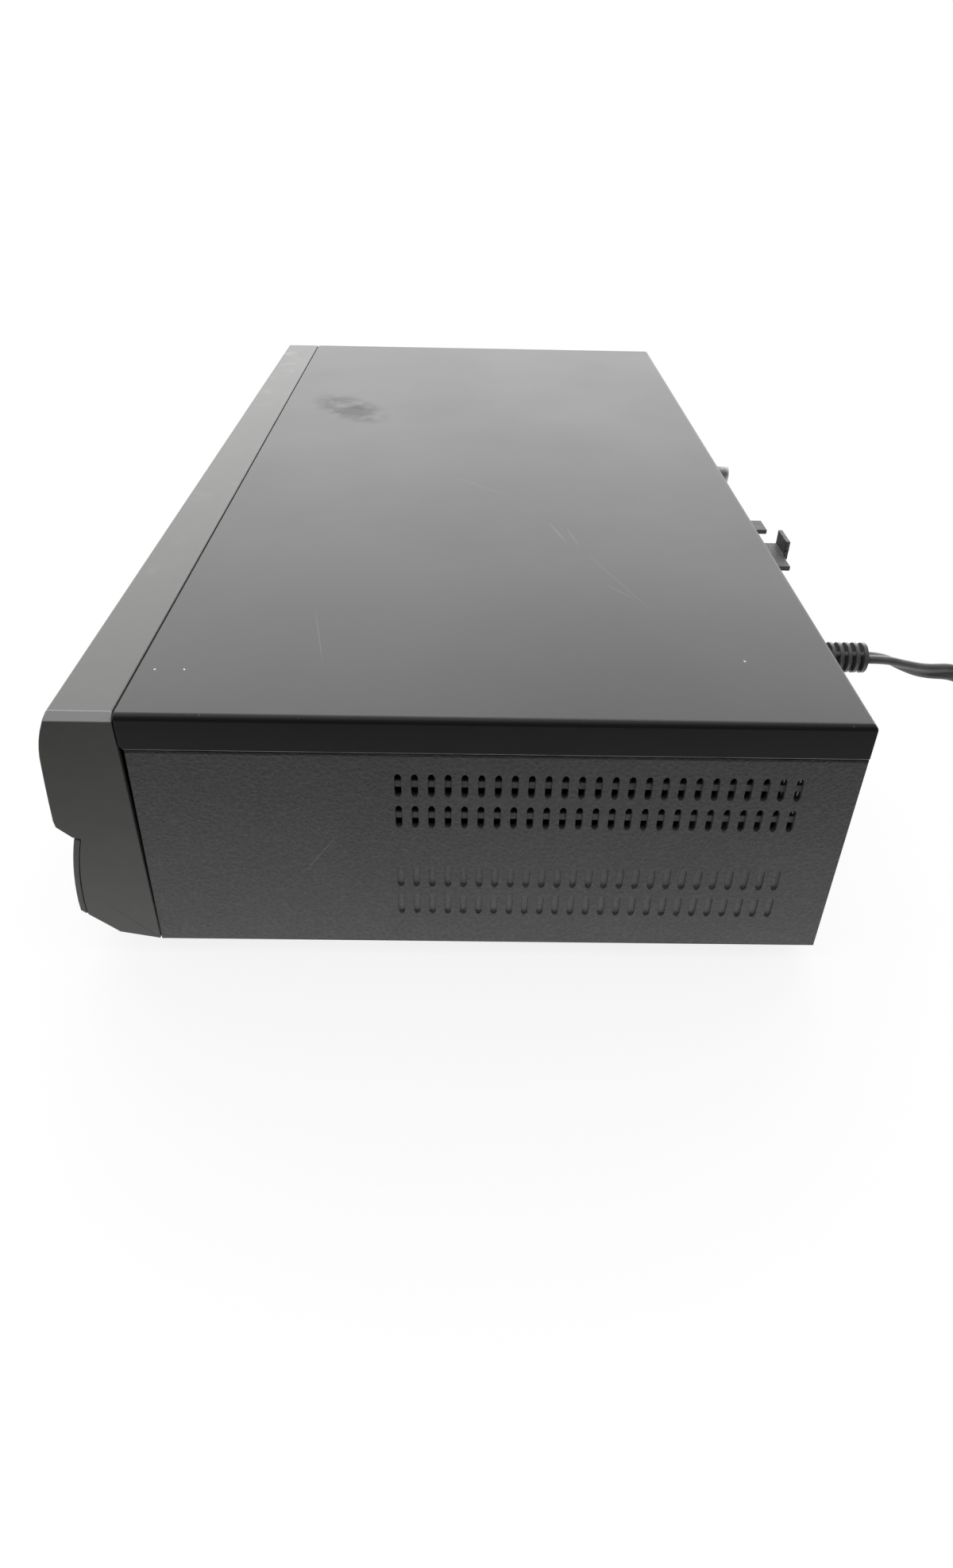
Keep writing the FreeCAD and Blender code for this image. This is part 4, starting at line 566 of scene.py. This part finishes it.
coverPaint = {
    "colour": (0.0085, 0.009, 0.0088), "clouded": (0.011475, 0.01215, 0.011704), "rough": 0.36, "index": 1.46,
    "peel": 0.0011, "peelDepth": 0.00002, "dust": 0.3, "smudge": 0.006, "fleck": 0.7,
    "smudges": [(-0.077, -0.072, 0.034, 0.017, 35, 0.1), (-0.078, -0.066, 0.012, 0.004, 60, 0.2)],
    "scratches": [
        (0.0737, 0.023, 0.0961, 0.0294, 0.0006), (0.0791, 0.0296, 0.1, 0.034, 0.0004),
        (0.1296, 0.0391, 0.1416, 0.0486, 0.0005), (0.1, 0.034, 0.1548, 0.0547, 0.0003),
        (0.02, -0.02, 0.05, 0.012, 0.00025), (0.15, -0.06, 0.19, -0.052, 0.00025),
    ],
    "flecks": [
        (0.1925, -0.1017, 0.00045, 0.0004, 0), (0.1923, -0.093, 0.0006, 0.0003, 30),
        (0.1827, 0.0767, 0.0007, 0.0003, 20),
    ],
    # hemTop and hemSide bound the painted highlight along the flange's lower edge
    "hemTop": (0.08245, 0.0827), "hemSide": (0.216, 0.2165), "foldTop": (0.0928, 0.0936), "foldSide": (0.2158, 0.2163),
}


def coverFinish():
    f = Finish("satin_cover_paint")
    c = coverPaint
    haze = f.noise(0.09, 4, 0.6)
    cloud = f.noise(0.02, 3, 0.6, seed=3.1)
    peel = f.noise(c["peel"], 2, 0.5)
    dust = f.cells(0.0035).step(0.05, 0.02) * f.noise(0.03, 2, seed=7.0).step(0.5, 0.62)
    broad, small = (f.patch(*spot) for spot in c["smudges"])
    smudge = broad * f.noise(0.012, 3, 0.7, seed=1.0).step(0.36, 0.6) + small * 0.4
    lines = added(f.scratch(*line) for line in c["scratches"])
    flecks = added(f.patch(*spot) for spot in c["flecks"])
    base = f.mix(cloud.step(0.3, 0.75) * 0.5, opaque(c["colour"]), opaque(c["clouded"]))
    base = f.mix((dust * 0.3 + lines * 0.06).capped(), base, grey(c["dust"]))
    base = f.mix(smudge * 0.5, base, grey(c["smudge"]))
    base = f.mix(flecks.capped(), base, grey(c["fleck"]))
    # A painted highlight in the dust's pale grey runs patchily along the flange's lower edge (the hem) over the side
    # panels, and the folds are rubbed in small spots
    hemHighlightBreakup = f.noise(0.01, 3, 0.6, seed=9.0).step(0.3, 0.6) * 0.5 + 0.5
    paintedHemHighlight = (1 - f.z.step(*c["hemTop"])) * abs(f.x).step(*c["hemSide"]) * hemHighlightBreakup
    chips = f.noise(0.0011, 2, 0.6, seed=11.0).step(0.68, 0.7) * abs(f.x).step(*c["foldSide"]) * f.z.step(*c["foldTop"])
    chips = chips * 0.7 * f.noise(0.02, 2, seed=12.0).step(0.5, 0.6)
    # The hem's share of this mix is a painted highlight; the chips are real wear
    base = f.mix((paintedHemHighlight * 0.85 + chips).capped(), base, grey(c["dust"]))
    rough = c["rough"] + haze * 0.08 + smudge * 0.1 - lines * 0.05
    return f.shader(Base_Color=base, Roughness=rough, IOR=c["index"], Normal=f.bump(peel, c["peelDepth"], 0.5))


sidePlastic = {
    "colour": 0.069, "worn": 1.8, "rough": 0.46, "grain": 0.00105, "grainDepth": 0.00036,
    "blindAt": 0.2161, "rowsSplit": (0.042, 0.0425), "lowRowsSheen": 0.2, "highRowsSheen": 0.14,
    # the band just under the cover's flange and its near-black grey are painted shade
    "paintedGapShadeFrom": (0.0807, 0.0812), "face": (0.214, 0.2145), "paintedGapShade": 0.005,
    "scratch": (-0.0526, 0.044, 0.0105, 0.00035, 54, 0.3), "scratched": 0.2,
}


def sideFinish():
    f = Finish("eroded_side_plastic")
    c = sidePlastic
    grain = f.cells(c["grain"], "SMOOTH_F1") + f.noise(c["grain"] * 0.6, 3, 0.7)
    haze = f.noise(0.05, 4, 0.6)
    # The slots' floors and the bars behind them lie inside of the face, and are painted lighter than it as a painted
    # sheen
    inside = 1 - f.x.step(c["blindAt"] + 0.0002, c["blindAt"] + 0.0004)
    behind = inside * f.x.step(c["blindAt"] - 0.0002, c["blindAt"] - 0.0001)
    scuffs = f.noise(0.012, 4, 0.7, (0.4, 1, 2.0), 2.2).step(0.62, 0.75)
    scratch = f.patch(*c["scratch"], f.y, f.z) * 0.8
    # Painted shade: a near-black band along the top of the outer face, under the cover's flange
    paintedGapShade = f.z.step(*c["paintedGapShadeFrom"]) * abs(f.x).step(*c["face"])
    # The grain term paints the grain's light and shade into the colour; the haze is random tone and the scuffs are wear
    worn = haze.step(0.3, 0.7) * 0.3 + scuffs * 0.12 + (grain - 0.6) * 0.9
    base = f.mix(worn, grey(c["colour"]), grey(c["colour"] * c["worn"]))
    base = f.mix(paintedGapShade * 0.95, base, grey(c["paintedGapShade"]))
    base = f.mix(scratch * 0.6, base, grey(c["scratched"]))
    # Painted sheen: the slots' floors and bars take a lighter grey than the face
    base = f.mix(behind * 0.9, base, f.mix(f.z.step(*c["rowsSplit"]), grey(c["lowRowsSheen"]), grey(c["highRowsSheen"])))
    rough = c["rough"] + haze * 0.12 - behind * 0.12
    return f.shader(Base_Color=base, Roughness=rough, Normal=f.bump(grain, c["grainDepth"], 0.6))


def mouldedWear(f, grain):
    # Even grain, faint cloudiness and rubbed patches
    return f.noise(grain, 2, 0.6), f.noise(0.03, 3, 0.55), f.noise(0.014, 4, 0.65, seed=5.0).step(0.55, 0.72)


def mouldedFinish(name, colour, rough, grain=0.0006, depth=0.00002, worn=0.15, coat=0.0, index=1.5):
    # Injection-moulded plastic, smoother and lighter where it is rubbed
    f = Finish(name)
    fine, cloud, rubbed = mouldedWear(f, grain)
    base = f.mix(cloud.step(0.35, 0.7) * 0.5 + rubbed * worn, opaque(colour), opaque(colour, 1.3, 0.004))
    return f.shader(
        Base_Color=base, Roughness=rough + cloud * 0.08 - rubbed * 0.07, IOR=index,
        Coat_Weight=coat, Coat_Roughness=0.15, Normal=f.bump(fine, depth, 0.5),
    )


bezelPaint = {
    "colour": (0.11, 0.11, 0.106), "rough": 0.36, "index": 1.38, "grain": 0.0006, "grainDepth": 0.000012, "edge": 0.5,
    # edge is the grey of a painted highlight on the slanted band these bounds mark
    "slantX": (0.2151, 0.2153), "slantY": (-0.1065, -0.106), "slantZ": (0.0916, 0.0918),
}


def bezelFinish():
    # The moulding's satin paint, with a painted highlight on the slanted band at the top of its right-hand end
    f = Finish("bezel_plastic_satin")
    c = bezelPaint
    fine, cloud, rubbed = mouldedWear(f, c["grain"])
    slantHighlight = f.z.step(*c["slantZ"]) * f.x.step(*c["slantX"]) * (1 - f.y.step(*c["slantY"]))
    base = f.mix(cloud.step(0.35, 0.7) * 0.4 + rubbed * 0.15, opaque(c["colour"]), opaque(c["colour"], 1.3))
    # Painted highlight: the band's pale grey stands for the light it catches
    base = f.mix(slantHighlight * (0.8 + cloud * 0.3), base, grey(c["edge"]))
    return f.shader(
        Base_Color=base, Roughness=c["rough"] + cloud * 0.08 - rubbed * 0.06, IOR=c["index"],
        Normal=f.bump(fine, c["grainDepth"], 0.5),
    )


keyMarks = {
    "top": 0.0806, "middle": 0.0694, "low": 0.0593, "power": 0.15, "down": 0.1685, "up": 0.1835, "eject": 0.202,
    "left": 0.151, "centre": 0.176, "right": 0.201, "size": 0.0024, "softEdge": 0.00005, "face": (-0.1272, -0.127),
    "print": 0.42, "red": (0.42, 0.02, 0.02), "cap": (0.058, 0.058, 0.059), "rubbed": (0.085, 0.085, 0.086),
    "rough": 0.44, "index": 1.4, "grain": 0.0005, "grainDepth": 0.00002,
}


def triangle(along, across, long, wide, way):
    # 1 inside a triangle whose tip points to the positive end of its axis, or to the negative one
    share = along * (way / long) + 0.5
    return share.step(0.0, 0.06) * (1 - (abs(across) * (2 / wide) + share).step(0.95, 1.03))


def plate(across, up, wide, high):
    soft = keyMarks["softEdge"]
    inWidth = 1 - abs(across).step(wide / 2 - soft, wide / 2 + soft)
    return inWidth * (1 - abs(up).step(high / 2 - soft, high / 2 + soft))


def printedSigns(f):
    # The usual plain signs: ring with a bar, triangles, bars, square
    m = keyMarks
    n = m["size"]
    power, down, up, eject, left, centre, right = (
        f.x - m[name] for name in ("power", "down", "up", "eject", "left", "centre", "right")
    )
    top, middle, low = f.z - m["top"], f.z - m["middle"], f.z - m["low"]
    ring = (power * power + top * top) ** 0.5
    signs = [
        1 - abs(ring - n * 0.5).step(0.00013, 0.00022), plate(power, top - n * 0.4, 0.00035, n * 0.55),
        triangle(top, up, n * 0.9, n * 1.2, 1), triangle(top, down, n * 0.9, n * 1.2, -1),
        triangle(top - 0.0003, eject, n * 0.7, n * 1.2, 1), plate(eject, top + n * 0.38, n * 1.2, 0.0004),
        triangle(centre, middle, n * 1.1, n * 1.2, 1),
    ]
    for shift in (-0.55, 0.55):
        signs += [
            triangle(left - shift * n, middle, n, n * 1.1, -1), triangle(right - shift * n, middle, n, n * 1.1, 1),
            plate(right - shift * n * 0.5, low, n * 0.28, n),
        ]
    return added(signs + [plate(centre, low, n * 0.9, n * 0.9)])


def keyFinish():
    # Matt key caps with the signs printed on them in pale grey, and a red dot
    f = Finish("key_plastic_matt")
    m = keyMarks
    dot = f.patch(m["left"], m["low"], m["size"] * 0.5, m["size"] * 0.5, 0, 0.85, f.x, f.z)
    cloud = f.noise(0.03, 3, 0.55)
    rubbed = f.noise(0.008, 4, 0.65, seed=5.0).step(0.5, 0.7)
    front = 1 - f.y.step(*m["face"])
    base = f.mix(cloud.step(0.35, 0.7) * 0.4 + rubbed * 0.3, opaque(m["cap"]), opaque(m["rubbed"]))
    base = f.mix(printedSigns(f).capped() * front * (1 - rubbed * 0.25), base, grey(m["print"]))
    base = f.mix(dot * front, base, opaque(m["red"]))
    return f.shader(
        Base_Color=base, Roughness=m["rough"] + cloud * 0.08 - rubbed * 0.08, IOR=m["index"],
        Normal=f.bump(f.noise(m["grain"], 2, 0.6), m["grainDepth"], 0.5),
    )


socketLook = {
    "plain": (0.66, 0.65, 0.6), "dulled": (0.4, 0.38, 0.33), "housing": (0.02, 0.02, 0.021), "well": 0.06,
    "first": (0.75, 0.5, 0.02), "second": (0.7, 0.7, 0.68), "third": (0.55, 0.02, 0.02),
    "frontX": 0.15, "frontPitch": 0.02, "frontZ": 0.0334, "rearX": 0.012, "rearPitch": 0.016, "rearZ": 0.0284,
    "rowPitch": 0.018, "collarFrom": (0.0042, 0.0043), "wellTo": (0.00285, 0.003),
    "rearHousing": (0.1036, 0.1038), "frontHousing": (0.1174, 0.1176),
}


def socketFinish():
    # Nickelled shells in a black housing; the collar of each column has the usual colour of its signal
    f = Finish("nickelled_socket")
    c = socketLook
    rear = f.y.step(-0.01, 0.01)
    start = c["frontX"] - rear * (c["frontX"] - c["rearX"])
    pitch = c["frontPitch"] - rear * (c["frontPitch"] - c["rearPitch"])
    column = (f.x - start) / pitch
    across = ((column + 0.5).maths("FRACT") - 0.5) * pitch
    row = (f.z - c["rearZ"]) / c["rowPitch"]
    up = ((row + 0.5).maths("FRACT") - 0.5) * c["rowPitch"] * rear + (f.z - c["frontZ"]) * (1 - rear)
    far = (across * across + up * up) ** 0.5
    collar = far.step(*c["collarFrom"])
    well = 1 - far.step(*c["wellTo"])
    tint = f.mix(column.step(0.4, 0.6), opaque(c["first"]), opaque(c["second"]))
    tint = f.mix(column.step(1.4, 1.6), tint, opaque(c["third"]))
    atRear = (1 - abs(f.y).step(*c["rearHousing"])) * rear
    housing = atRear + (1 - abs(f.y).step(*c["frontHousing"])) * (1 - rear)
    spot = f.noise(0.003, 3, 0.6, seed=8.0).step(0.45, 0.7)
    base = f.mix(spot * 0.3, opaque(c["plain"]), opaque(c["dulled"]))
    base = f.mix(collar, base, tint)
    base = f.mix(well * 0.8, base, grey(c["well"]))
    base = f.mix(housing, base, opaque(c["housing"]))
    metal = (1 - collar) * (1 - housing) * (1 - well * 0.8)
    return f.shader(
        Base_Color=base, Metallic=metal, Roughness=0.24 + spot * 0.14 + collar * 0.12,
        Normal=f.bump(f.noise(0.0004, 2, 0.6), 0.00001, 0.4),
    )


def rubberFinish(name, colour, rough, grain=0.0004):
    # Matt rubber or soft vinyl with a pale bloom and a little dust
    f = Finish(name)
    fine = f.noise(grain, 3, 0.6)
    bloom = f.noise(0.006, 4, 0.6, seed=4.0)
    dust = f.cells(0.0016).step(0.14, 0.06) * bloom.step(0.45, 0.6)
    base = f.mix(bloom.step(0.4, 0.75) * 0.5, opaque(colour), opaque(colour, 1.7, 0.006))
    base = f.mix(dust * 0.3, base, grey(0.25))
    return f.shader(Base_Color=base, Roughness=rough + bloom * 0.15, Normal=f.bump(fine, 0.00003, 0.5))


def metalFinish(name, colour, rough, brush=(1, 1, 1), grain=0.0004, spots=0.25, depth=0.000006):
    # Bare or plated metal: brushed or rolled lines, duller clouded spots
    f = Finish(name)
    lines = f.noise(grain, 3, 0.6, brush)
    spot = f.noise(0.011, 4, 0.65, seed=8.0).step(0.45, 0.7)
    base = f.mix(spot * spots + lines * 0.18, opaque(colour), opaque(colour, 0.72))
    rough = rough + spot * 0.14 + (lines - 0.5) * 0.12
    return f.shader(Base_Color=base, Metallic=1.0, Roughness=rough, Normal=f.bump(lines, depth, 0.6))


zincSheet = {"dark": (0.42, 0.43, 0.44), "light": (0.62, 0.63, 0.63), "crystalsPerMetre": 140, "rough": 0.34}


def spangledFinish():
    # Zinc-coated sheet: broad crystals of slightly different grey
    f = Finish("zinc_coated_steel")
    c = zincSheet
    crystals = {"Vector": f.place, "Scale": c["crystalsPerMetre"]}
    tone = f.node("SeparateXYZ", values={0: f.node("TexVoronoi", {"feature": "F1"}, crystals, out="Color")})
    lines = f.noise(0.0005, 3, 0.6, (1, 8, 8))
    base = f.mix(tone, opaque(c["dark"]), opaque(c["light"]))
    return f.shader(Base_Color=base, Metallic=1.0, Roughness=c["rough"] + tone * 0.14, Normal=f.bump(lines, 0.00001, 0.5))


boardLook = {
    "plain": (0.12, 0.085, 0.04), "tracks": (0.19, 0.145, 0.075), "fibres": (0.09, 0.065, 0.035), "parts": 0.022,
    "top": 0.016, "behind": (-0.105, -0.104), "tracksPerMetre": 160.0, "rough": 0.38, "trackDepth": 0.00004,
}


def laminateFinish():
    # Brown phenolic board, copper tracks showing as faint ridges, and black parts standing on the main one
    f = Finish("printed_circuit_board")
    c = boardLook
    bricks = {"Vector": f.place, "Scale": c["tracksPerMetre"], "Mortar Size": 0.055, "Mortar Smooth": 0.1, "Bias": 0.0}
    grid = f.node("TexBrick", {"offset": 0.37, "squash": 1.6, "squash_frequency": 3}, bricks, out="Fac")
    fibre = f.noise(0.0006, 3, 0.7)
    raised = f.z.step(c["top"] + 0.0003, c["top"] + 0.0005) * f.y.step(*c["behind"])
    base = f.mix(grid, opaque(c["plain"]), opaque(c["tracks"]))
    base = f.mix(fibre.step(0.5, 0.8) * 0.4, base, opaque(c["fibres"]))
    base = f.mix(raised, base, grey(c["parts"]))
    ridges = f.bump(grid * (1 - raised), c["trackDepth"], 0.6)
    return f.shader(Base_Color=base, Roughness=c["rough"] + fibre * 0.12, Normal=ridges)


corePlates = {"steel": (0.16, 0.165, 0.175), "rust": (0.1, 0.075, 0.05), "waves": 2400.0, "depth": 0.00008, "rough": 0.42}


def laminatedCoreFinish():
    # The transformer's stacked plates show as fine level lines, with rust in spots
    f = Finish("stacked_core_plates")
    c = corePlates
    plates = (f.z * c["waves"]).maths("SINE")
    spot = f.noise(0.008, 4, 0.65).step(0.5, 0.72)
    base = f.mix(spot * 0.7, opaque(c["steel"]), opaque(c["rust"]))
    rough = c["rough"] + spot * 0.2
    return f.shader(Base_Color=base, Metallic=0.8, Roughness=rough, Normal=f.bump(plates, c["depth"], 0.7))


def tintedFinish(name, colour, rough, through):
    # Smoked or tinted glass with smears and a few specks of dust
    f = Finish(name)
    smear = f.noise(0.02, 3, 0.6, (1, 1, 3)).step(0.45, 0.75)
    specks = f.cells(0.002).step(0.09, 0.04) * 0.4
    base = f.mix(specks, opaque(colour), grey(0.3))
    return f.shader(Base_Color=base, Roughness=rough + smear * 0.06, Transmission_Weight=through, IOR=1.46)


finishes = {
    "cover_paint": coverFinish(),
    "case_plastic": sideFinish(),
    "bezel_plastic": bezelFinish(),
    "door_plastic": mouldedFinish("door_plastic_satin", (0.1, 0.1, 0.097), 0.34, depth=0.00001, index=1.38),
    "button_plastic": keyFinish(),
    "tinted_window": tintedFinish("smoked_acrylic", (0.012, 0.011, 0.011), 0.07, 0.45),
    "display_glass": tintedFinish("tube_glass", (0.05, 0.09, 0.085), 0.06, 0.25),
    "foot_rubber": rubberFinish("foot_rubber_matt", (0.018, 0.018, 0.018), 0.7),
    "cord_rubber": rubberFinish("cord_sheath_vinyl", (0.1, 0.1, 0.099), 0.22, 0.0006),
    "black_screw": metalFinish("blackened_screw_steel", (0.055, 0.055, 0.058), 0.34),
    "panel_steel": metalFinish("painted_panel_steel", (0.3, 0.3, 0.31), 0.42, (1, 8, 8)),
    "plated_steel": spangledFinish(),
    "core_steel": laminatedCoreFinish(),
    "machined_aluminium": metalFinish("turned_aluminium", (0.78, 0.79, 0.8), 0.2, (1, 1, 14), 0.0005, 0.1),
    "head_metal": metalFinish("polished_head_metal", (0.7, 0.69, 0.66), 0.16),
    "guide_chrome": metalFinish("chromed_guide", (0.78, 0.78, 0.79), 0.12, spots=0.1),
    "jack_metal": socketFinish(),
    "blade_brass": metalFinish("bent_brass_blade", (0.75, 0.66, 0.42), 0.24),
    "thread_zinc": metalFinish("cut_thread_zinc", (0.62, 0.62, 0.6), 0.28),
    "circuit_board": laminateFinish(),
    "can_sleeve": mouldedFinish("capacitor_sleeve", (0.015, 0.02, 0.05), 0.25, coat=0.4),
    "reel_plastic": mouldedFinish("reel_plastic_white", (0.62, 0.61, 0.57), 0.35),
    "gear_nylon": mouldedFinish("gear_nylon_cream", (0.6, 0.56, 0.46), 0.38),
    "roller_rubber": rubberFinish("roller_rubber_black", (0.022, 0.021, 0.02), 0.55),
    "belt_rubber": rubberFinish("belt_rubber_black", (0.015, 0.015, 0.015), 0.5),
}

for holder in [*nodes.values(), *finished.values()]:
    for place in holder.material_slots:
        place.material = finishes.get(place.material.name.split(".")[0], finishes["case_plastic"])
for piece, finish in finishLater:
    piece.data.materials.clear()
    piece.data.materials.append(finishes[finish])
print("finishes given:", len(finishes))


# White surround: the floor keeps a soft shadow, and rays from the camera and through glass see plain white.

roomLight = {
    "nearSide": 0.12, "sides": 0.8, "farSide": 2.75, "overhead": 1.15, "keyPower": 2.0,
    "keyAt": (-0.9, -0.5, 1.1), "keySize": (1.2, 0.8), "floorHalf": 6, "floorBelow": 0.00005,
    "floorWhite": 0.97, "floorLift": 0.8, "floorSeen": 1.05, "tableEdge": 0.24, "tableFade": 0.14, "roomBeyond": 0.06,
    "underX": (0.19, 0.2), "underFront": (-0.11, -0.1), "underRear": (0.088, 0.098),
}


def lightWorld():
    world = bpy.data.worlds.new("whiteRoom")
    world.use_nodes = True
    scene.world = world
    tree = world.node_tree
    background = tree.nodes["Background"]
    background.inputs["Color"].default_value = grey(1.0)
    towards = tree.nodes.new("ShaderNodeTexCoord")
    parts = tree.nodes.new("ShaderNodeSeparateXYZ")
    tree.links.new(towards.outputs["Generated"], parts.inputs[0])
    across, upward = Wire(tree, parts.outputs[0]), Wire(tree, parts.outputs[2])
    near, far, above = (roomLight[name] - roomLight["sides"] for name in ("nearSide", "farSide", "overhead"))
    sides = roomLight["sides"] + across.step(0.05, 0.7) * near
    window = (-1.0 * across - upward * 0.35).step(0.25, 0.62) * far
    bright = sides + window + upward.step(0.55, 1.0) * above
    path = tree.nodes.new("ShaderNodeLightPath")
    plain = Wire(tree, path.outputs["Is Camera Ray"]).maths("MAXIMUM", Wire(tree, path.outputs["Is Transmission Ray"]))
    feed(tree, background.inputs["Strength"], bright * (1 - plain) + plain)


def layFloor():
    c = roomLight
    f = Finish("white_floor")
    paper = f.tree.nodes.new("ShaderNodeBsdfDiffuse")
    glow = f.tree.nodes.new("ShaderNodeEmission")
    plain = f.node("LightPath", out="Is Camera Ray").maths("MAXIMUM", f.node("LightPath", out="Is Transmission Ray"))
    # The white table ends beside the machine, and the room past it is darker
    table = 1 - f.x.step(c["tableEdge"], c["tableEdge"] + c["tableFade"]) * (1 - c["roomBeyond"])
    feed(f.tree, paper.inputs["Color"], f.mix(table.maths("MAXIMUM", plain), grey(0.0), grey(c["floorWhite"])))
    # No lift in the dark under the base pan
    under = (1 - abs(f.x).step(*c["underX"])) * f.y.step(*c["underFront"]) * (1 - f.y.step(*c["underRear"]))
    feed(f.tree, glow.inputs["Strength"], table.maths("MAXIMUM", plain * c["floorSeen"]) * (1 - under))
    blend = f.tree.nodes.new("ShaderNodeMixShader")
    blend.inputs[0].default_value = c["floorLift"]
    f.tree.links.new(paper.outputs[0], blend.inputs[1])
    f.tree.links.new(glow.outputs[0], blend.inputs[2])
    half, low = c["floorHalf"], -c["floorBelow"]
    mesh = bpy.data.meshes.new("floor")
    mesh.from_pydata([(-half, -half, low), (half, -half, low), (half, half, low), (-half, half, low)], [], [(0, 1, 2, 3)])
    floor = bpy.data.objects.new("floor", mesh)
    floor.data.materials.append(f.output(blend))
    scene.collection.objects.link(floor)


def hangLamp():
    lamp = bpy.data.lights.new("softbox", "AREA")
    lamp.shape, lamp.energy = "RECTANGLE", roomLight["keyPower"]
    lamp.size, lamp.size_y = roomLight["keySize"]
    holder = bpy.data.objects.new("softbox", lamp)
    facing = Vector(roomLight["keyAt"]).to_track_quat("Z", "Y").to_matrix().to_4x4()
    holder.matrix_world = Matrix.Translation(roomLight["keyAt"]) @ facing
    scene.collection.objects.link(holder)


lightWorld()
layFloor()
hangLamp()
scene.view_settings.view_transform = "Standard"
print("room lit")
